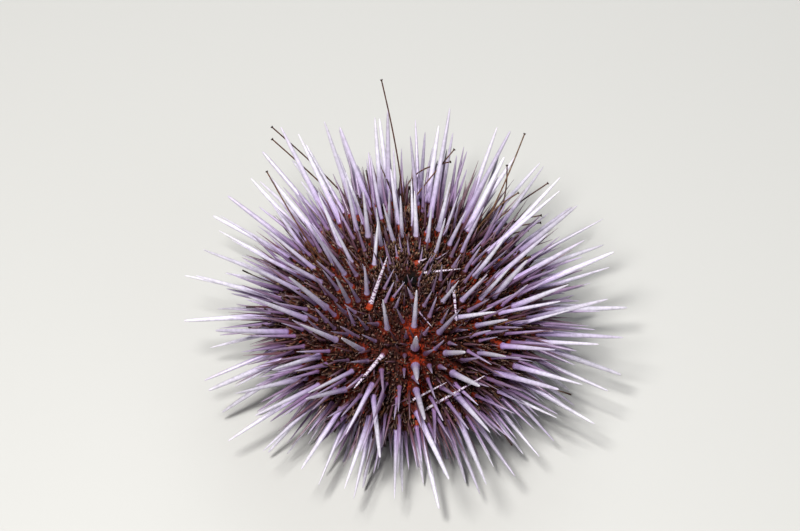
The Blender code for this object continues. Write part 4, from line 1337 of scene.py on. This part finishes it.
def apical_relief(azimuths, reach, from_vent):
    """Five plates with seams between them, the bump inside their ring, and the pit of the vent."""
    turn = (azimuths - math.radians(FIRST_INTERAMBULACRUM)) * SECTORS
    seam = np.exp(-(1 + np.cos(turn)) / SEAM_WIDTH)
    ring = np.exp(-(((reach - PERIPROCT_RADIUS) / RING_WIDTH) ** 2))
    plates = PLATE_RISE - SEAM_DEPTH * np.maximum(seam, ring)
    bump = PERIPROCT_RISE * np.clip(1 - (reach / PERIPROCT_RADIUS) ** 2, 0, 1)
    relief = np.where(reach < PERIPROCT_RADIUS, bump * BUMP_SHARE, plates)
    return relief - VENT_DEPTH * np.exp(-((from_vent / VENT_RADIUS) ** 2))


def in_bare_row(root):
    """Whether a root is in the row of primaries whose feet stand bare."""
    azimuth, angle = angles_of(root)
    aside = abs(turn_between(azimuth, math.radians(FIRST_INTERAMBULACRUM + BARE_ROW)))
    return aside < BARE_WIDTH and BARE_ANGLES[0] < angle < BARE_ANGLES[1]


def build_skin(name, primaries, mediums, material):
    """One skin over the whole test, raised under each spine, with the vent's plates and the mouth."""
    azimuths, angles = skin_grid()
    sines, cosines = np.sin(angles), np.cos(angles)
    halves = np.where(cosines > 0, TEST_RISE, TEST_DROP)
    out = np.stack((np.cos(azimuths), np.sin(azimuths), np.zeros_like(azimuths)), axis=1)
    places = out * (TEST_RADIUS * sines)[:, None]
    places[:, 2] = GIRTH_HEIGHT + halves * cosines
    steep = np.arctan2(sines / TEST_RADIUS, cosines / halves)
    normals = out * np.sin(steep)[:, None]
    normals[:, 2] = np.cos(steep)

    big, middling = as_arrays(primaries)[0], as_arrays(mediums)[0]
    reach = np.hypot(places[:, 0], places[:, 1])
    from_vent = np.linalg.norm(places[:, :2] - VENT, axis=1)
    oral = (cosines < 0) & (reach < PERISTOME_RADIUS)
    apical = (cosines > 0) & (reach < APICAL_RADIUS)
    rough = np.array([noise.fractal(Vector(place * 900), 0.9, 2.1, 4) for place in places])
    lift = -SKIN_SINK + nearness(places, big, *PRIMARY_SWELL) + nearness(places, middling, *MEDIUM_SWELL)
    lift += rough * SKIN_ROUGHNESS
    plates = apical_relief(azimuths, reach, from_vent)
    lift = np.where(apical, -SKIN_SINK + plates + rough * SKIN_ROUGHNESS, lift)
    lift = np.where(oral, rough * MEMBRANE_ROUGHNESS, lift)
    places = places + normals * lift[:, None]
    places[:, 2] += np.where(cosines < 0, np.interp(reach, *zip(*MOUTH_PROFILE)), 0.0)
    top = GIRTH_HEIGHT + TEST_RISE - SKIN_SINK + PERIPROCT_RISE * 0.4
    bottom = GIRTH_HEIGHT - TEST_DROP + MOUTH_PROFILE[0][1]
    vertices = np.vstack((places, (0, 0, top), (0, 0, bottom)))

    bare = np.array([root for root in big if in_bare_row(root)])
    flushed = surface(*(math.radians(turn) for turn in RED_PLACE))
    red = nearness(places, big, *PRIMARY_RED) + nearness(places, bare, *BARE_RED)
    red = np.clip(red + nearness(places, flushed[None], *REDDEST), 0, 1)
    pale = np.where(oral, np.interp(reach, *zip(*MEMBRANE_PALENESS)), 0.0)
    # Painted shade: black in the vent's pit and inside the mouth's opening
    dark = np.where(apical, np.clip(VENT_FADES - from_vent / VENT_FADE, 0, 1), 0.0)
    dark = np.where(oral & (reach < MOUTH_EDGE), 1.0, dark)
    at_poles = {"red": (red, 0), "pale": (pale, 0), "dark": (dark, 1)}
    values = {key: np.append(value, (pole, pole)) for key, (value, pole) in at_poles.items()}
    azimuths, angles = np.append(azimuths, (0.0, 0.0)), np.append(angles, (0.0, math.pi))
    below = corners_below()

    def corner_uv(corners):
        return unwrap(azimuths[corners], angles[corners], below)

    return place_piece(name, vertices, skin_faces(), material, corner_uv, values)


# Mouth and teeth


def under_test(reach):
    """Height of the lower test this far from the axis."""
    return GIRTH_HEIGHT - TEST_DROP * math.sqrt(1 - (reach / TEST_RADIUS) ** 2)


def build_buccal_feet(name, material, draw):
    """The stubby feet on the membrane, in five pairs."""
    root = under_test(BUCCAL_RING) + MEMBRANE_RECESS
    steps = np.array((0.5, 0.0, -0.4, -0.75, -0.92, -1.0))[:, None]
    lines = []
    for sector in range(SECTORS):
        for side in (-1, 1):
            middle = FIRST_INTERAMBULACRUM + (sector + 0.5) * 360 / SECTORS + side * BUCCAL_SPREAD
            out = level(math.radians(middle)) * BUCCAL_RING
            lines.append(out * (1 - 0.05 * steps) + UP * (root + BUCCAL_LENGTH * 0.67 * steps))
    girths = np.array((0.7, 0.75, 0.6, 0.55, 0.9, 0.8)) * BUCCAL_RADIUS
    values = flesh_values(len(lines), (0.0, 0.0, 0.1, 0.2, 0.5, 0.6), draw)
    return lofts(name, lines, girths, 12, material, values, dome=0.1)


def build_teeth(name, material, draw):
    """The five teeth, which bend in to meet below the mouth."""
    root = under_test(MOUTH_RADIUS) + GAP + TOOTH_DEPTH
    steps = np.linspace(0, 1, len(TOOTH_GIRTHS))[:, None]
    reach = TOOTH_ROOT + (TOOTH_TIP - TOOTH_ROOT) * steps + TOOTH_BEND * np.sin(steps * math.pi)
    height = root - (TOOTH_DEPTH + TOOTH_REACH) * steps
    lines = []
    for sector in range(SECTORS):
        out = level(math.radians(FIRST_INTERAMBULACRUM + sector * 360 / SECTORS))
        lines.append(out * reach + UP * height)
    girths = np.array(TOOTH_GIRTHS) * TOOTH_RADIUS
    along = np.broadcast_to(steps[:, 0], (SECTORS, len(steps)))
    values = {"along": along, "chance": draw.uniform(0, 1, SECTORS)}
    return lofts(name, lines, girths, 16, material, values, dome=0.3)


# Stage


def build_stage():
    """A pale floor, soft light from all round and three lamps."""
    scene = bpy.context.scene
    mesh = bpy.data.meshes.new("floor")
    corners = [(x * FLOOR_REACH, y * FLOOR_REACH, 0.0) for x, y in ((-1, -1), (1, -1), (1, 1), (-1, 1))]
    mesh.from_pydata(corners, [], [(0, 1, 2, 3)])
    floor = bpy.data.objects.new("floor", mesh)
    scene.collection.objects.link(floor)
    made, _, shader = look("floor", 0.85, 0.2)
    shader.inputs["Base Color"].default_value = FLOOR_COLOUR
    mesh.materials.append(made)

    world = bpy.data.worlds.new("studio")
    world.use_nodes = True
    sky = world.node_tree.nodes["Background"]
    sky.inputs["Color"].default_value = SKY_COLOUR
    sky.inputs["Strength"].default_value = SKY_STRENGTH
    scene.world = world

    for name, place, size, power, colour in LIGHTS:
        light = bpy.data.lights.new(name, "AREA")
        light.size, light.energy, light.color = size, power, colour
        lamp = bpy.data.objects.new(name, light)
        lamp.location = place
        lamp.rotation_euler = (Vector(LIGHT_TARGET) - lamp.location).to_track_quat("-Z", "Y").to_euler()
        scene.collection.objects.link(lamp)


def build_camera():
    """The camera, placed so that the test's middle falls on its place in the photograph."""
    target = AXIS + UP * GIRTH_HEIGHT
    target -= VIEW_RIGHT * (GIRTH_PIXEL[0] - PHOTO_WIDTH / 2) / PIXELS_PER_METRE
    target += VIEW_UP * (GIRTH_PIXEL[1] - PHOTO_HEIGHT / 2) / PIXELS_PER_METRE
    lens = bpy.data.cameras.new("camera")
    lens.sensor_width = SENSOR * 1000
    lens.lens = PIXELS_PER_METRE * SENSOR * CAMERA_DISTANCE / PHOTO_WIDTH * 1000
    lens.clip_start = 0.01
    camera = bpy.data.objects.new("camera", lens)
    camera.location = target + TO_VIEWER * CAMERA_DISTANCE
    camera.rotation_euler = (math.pi / 2 - VIEW_SLOPE, 0, 0)
    bpy.context.scene.collection.objects.link(camera)
    bpy.context.scene.camera = camera


# The whole animal


def plant(thicket):
    """The long feet and the odd, primary, medium and apical spines, laid out as the solids' are."""
    draw = np.random.default_rng(LAYOUT_SEED)
    feet = long_feet(thicket)
    strays = stray_spines(thicket)
    big = seen_spines(thicket, SEEN_BIG, SEEN_SHARES[0], PRIMARY_RADIUS, draw)
    slim = seen_spines(thicket, SEEN_SLIM, SEEN_SHARES[1], MEDIUM_RADII[1], draw)
    apical = apical_spines(thicket, draw)
    primaries = big + primary_spines(thicket, strays + big + slim, draw)
    mediums = slim + medium_spines(thicket, draw)
    return feet, strays, primaries, mediums, apical


def main():
    thicket = Thicket()
    feet, strays, primaries, mediums, apical = plant(thicket)
    # The last of the odd spines stands nearer to the vent than its solid, with those over the disc
    odd = strays[:-1] + disc_spines(thicket, True)
    apical += disc_spines(thicket, False)

    draw = np.random.default_rng(FINE_SEED)
    looks = {key: spine_look(*row) for key, row in SPINE_LOOKS.items()}
    looks.update({key: flesh_look(*row) for key, row in FLESH_LOOKS.items()})
    zone_spines = []
    for kind in ("interambulacr", "ambulacr"):
        for size, spines, ribs in (("primary", primaries, PRIMARY_RIBS), ("medium", mediums, MEDIUM_RIBS)):
            chosen = [spine for spine in spines if spine.zone.startswith(kind)]
            zone_spines.append(build_spines(f"{size}_{kind}al_spines", chosen, ribs, looks[size], draw))
    zone_spines.append(build_spines("odd_spines", odd, MEDIUM_RIBS, looks["primary"], draw, 1.0))
    vent_spines = build_spines("apical_spines", apical, MEDIUM_RIBS, looks["medium"], draw)
    for name, spines, sides, dull in (
        ("primary_muscles", primaries, 16, 1.0),
        ("medium_muscles", mediums + apical, 10, 2.2),
        ("odd_muscles", odd, 12, 0.15),
    ):
        build_collars(name, spines, sides, looks["collar"], draw, dull)

    secondaries = secondary_spines(thicket, draw)
    rooted = primaries + mediums + apical + odd
    taken = as_arrays(rooted)[0]
    miliaries = miliary_spines(np.vstack((taken, as_arrays(secondaries)[0])), draw)
    half = len(miliaries) // 2
    for name, spines, sides, shares, look_name in (
        ("secondary_spines", secondaries, 8, SECONDARY_STATIONS, "small"),
        ("upper_miliary_spines", miliaries[:half], 6, MILIARY_STATIONS, "miliary"),
        ("lower_miliary_spines", miliaries[half:], 6, MILIARY_STATIONS, "miliary"),
    ):
        build_small_spines(name, spines, sides, shares, looks[look_name], draw)

    clear = as_arrays(rooted)[3] * COLLAR_CLEAR
    for index, spine in enumerate(primaries):
        if in_bare_row(spine.root):
            clear[index] = BARE_CLEAR
    build_pincers("pincers", taken, clear, looks["pincer"], draw)
    build_granules("granules", taken, clear, looks["granule"], draw)
    build_long_feet("long_tube_feet", feet, looks["foot"], draw)
    build_short_feet("short_tube_feet", taken, thicket, looks["foot"], draw)
    build_standing_feet("standing_tube_feet", taken, looks["foot"], draw)
    build_buccal_feet("buccal_feet", looks["buccal"], draw)
    teeth = build_teeth("teeth", tooth_look(), draw)
    skin = build_skin("skin", primaries, mediums + apical, skin_look())

    side_zones = [zone[0] for zone in zones()]
    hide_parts(*side_zones, "apical_disc", "peristome")
    for piece in zone_spines:
        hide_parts(*side_zones)
    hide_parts("apical_disc")
    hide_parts("lantern")
    bpy.context.scene.view_settings.view_transform = "Standard"
    build_stage()
    build_camera()


main()
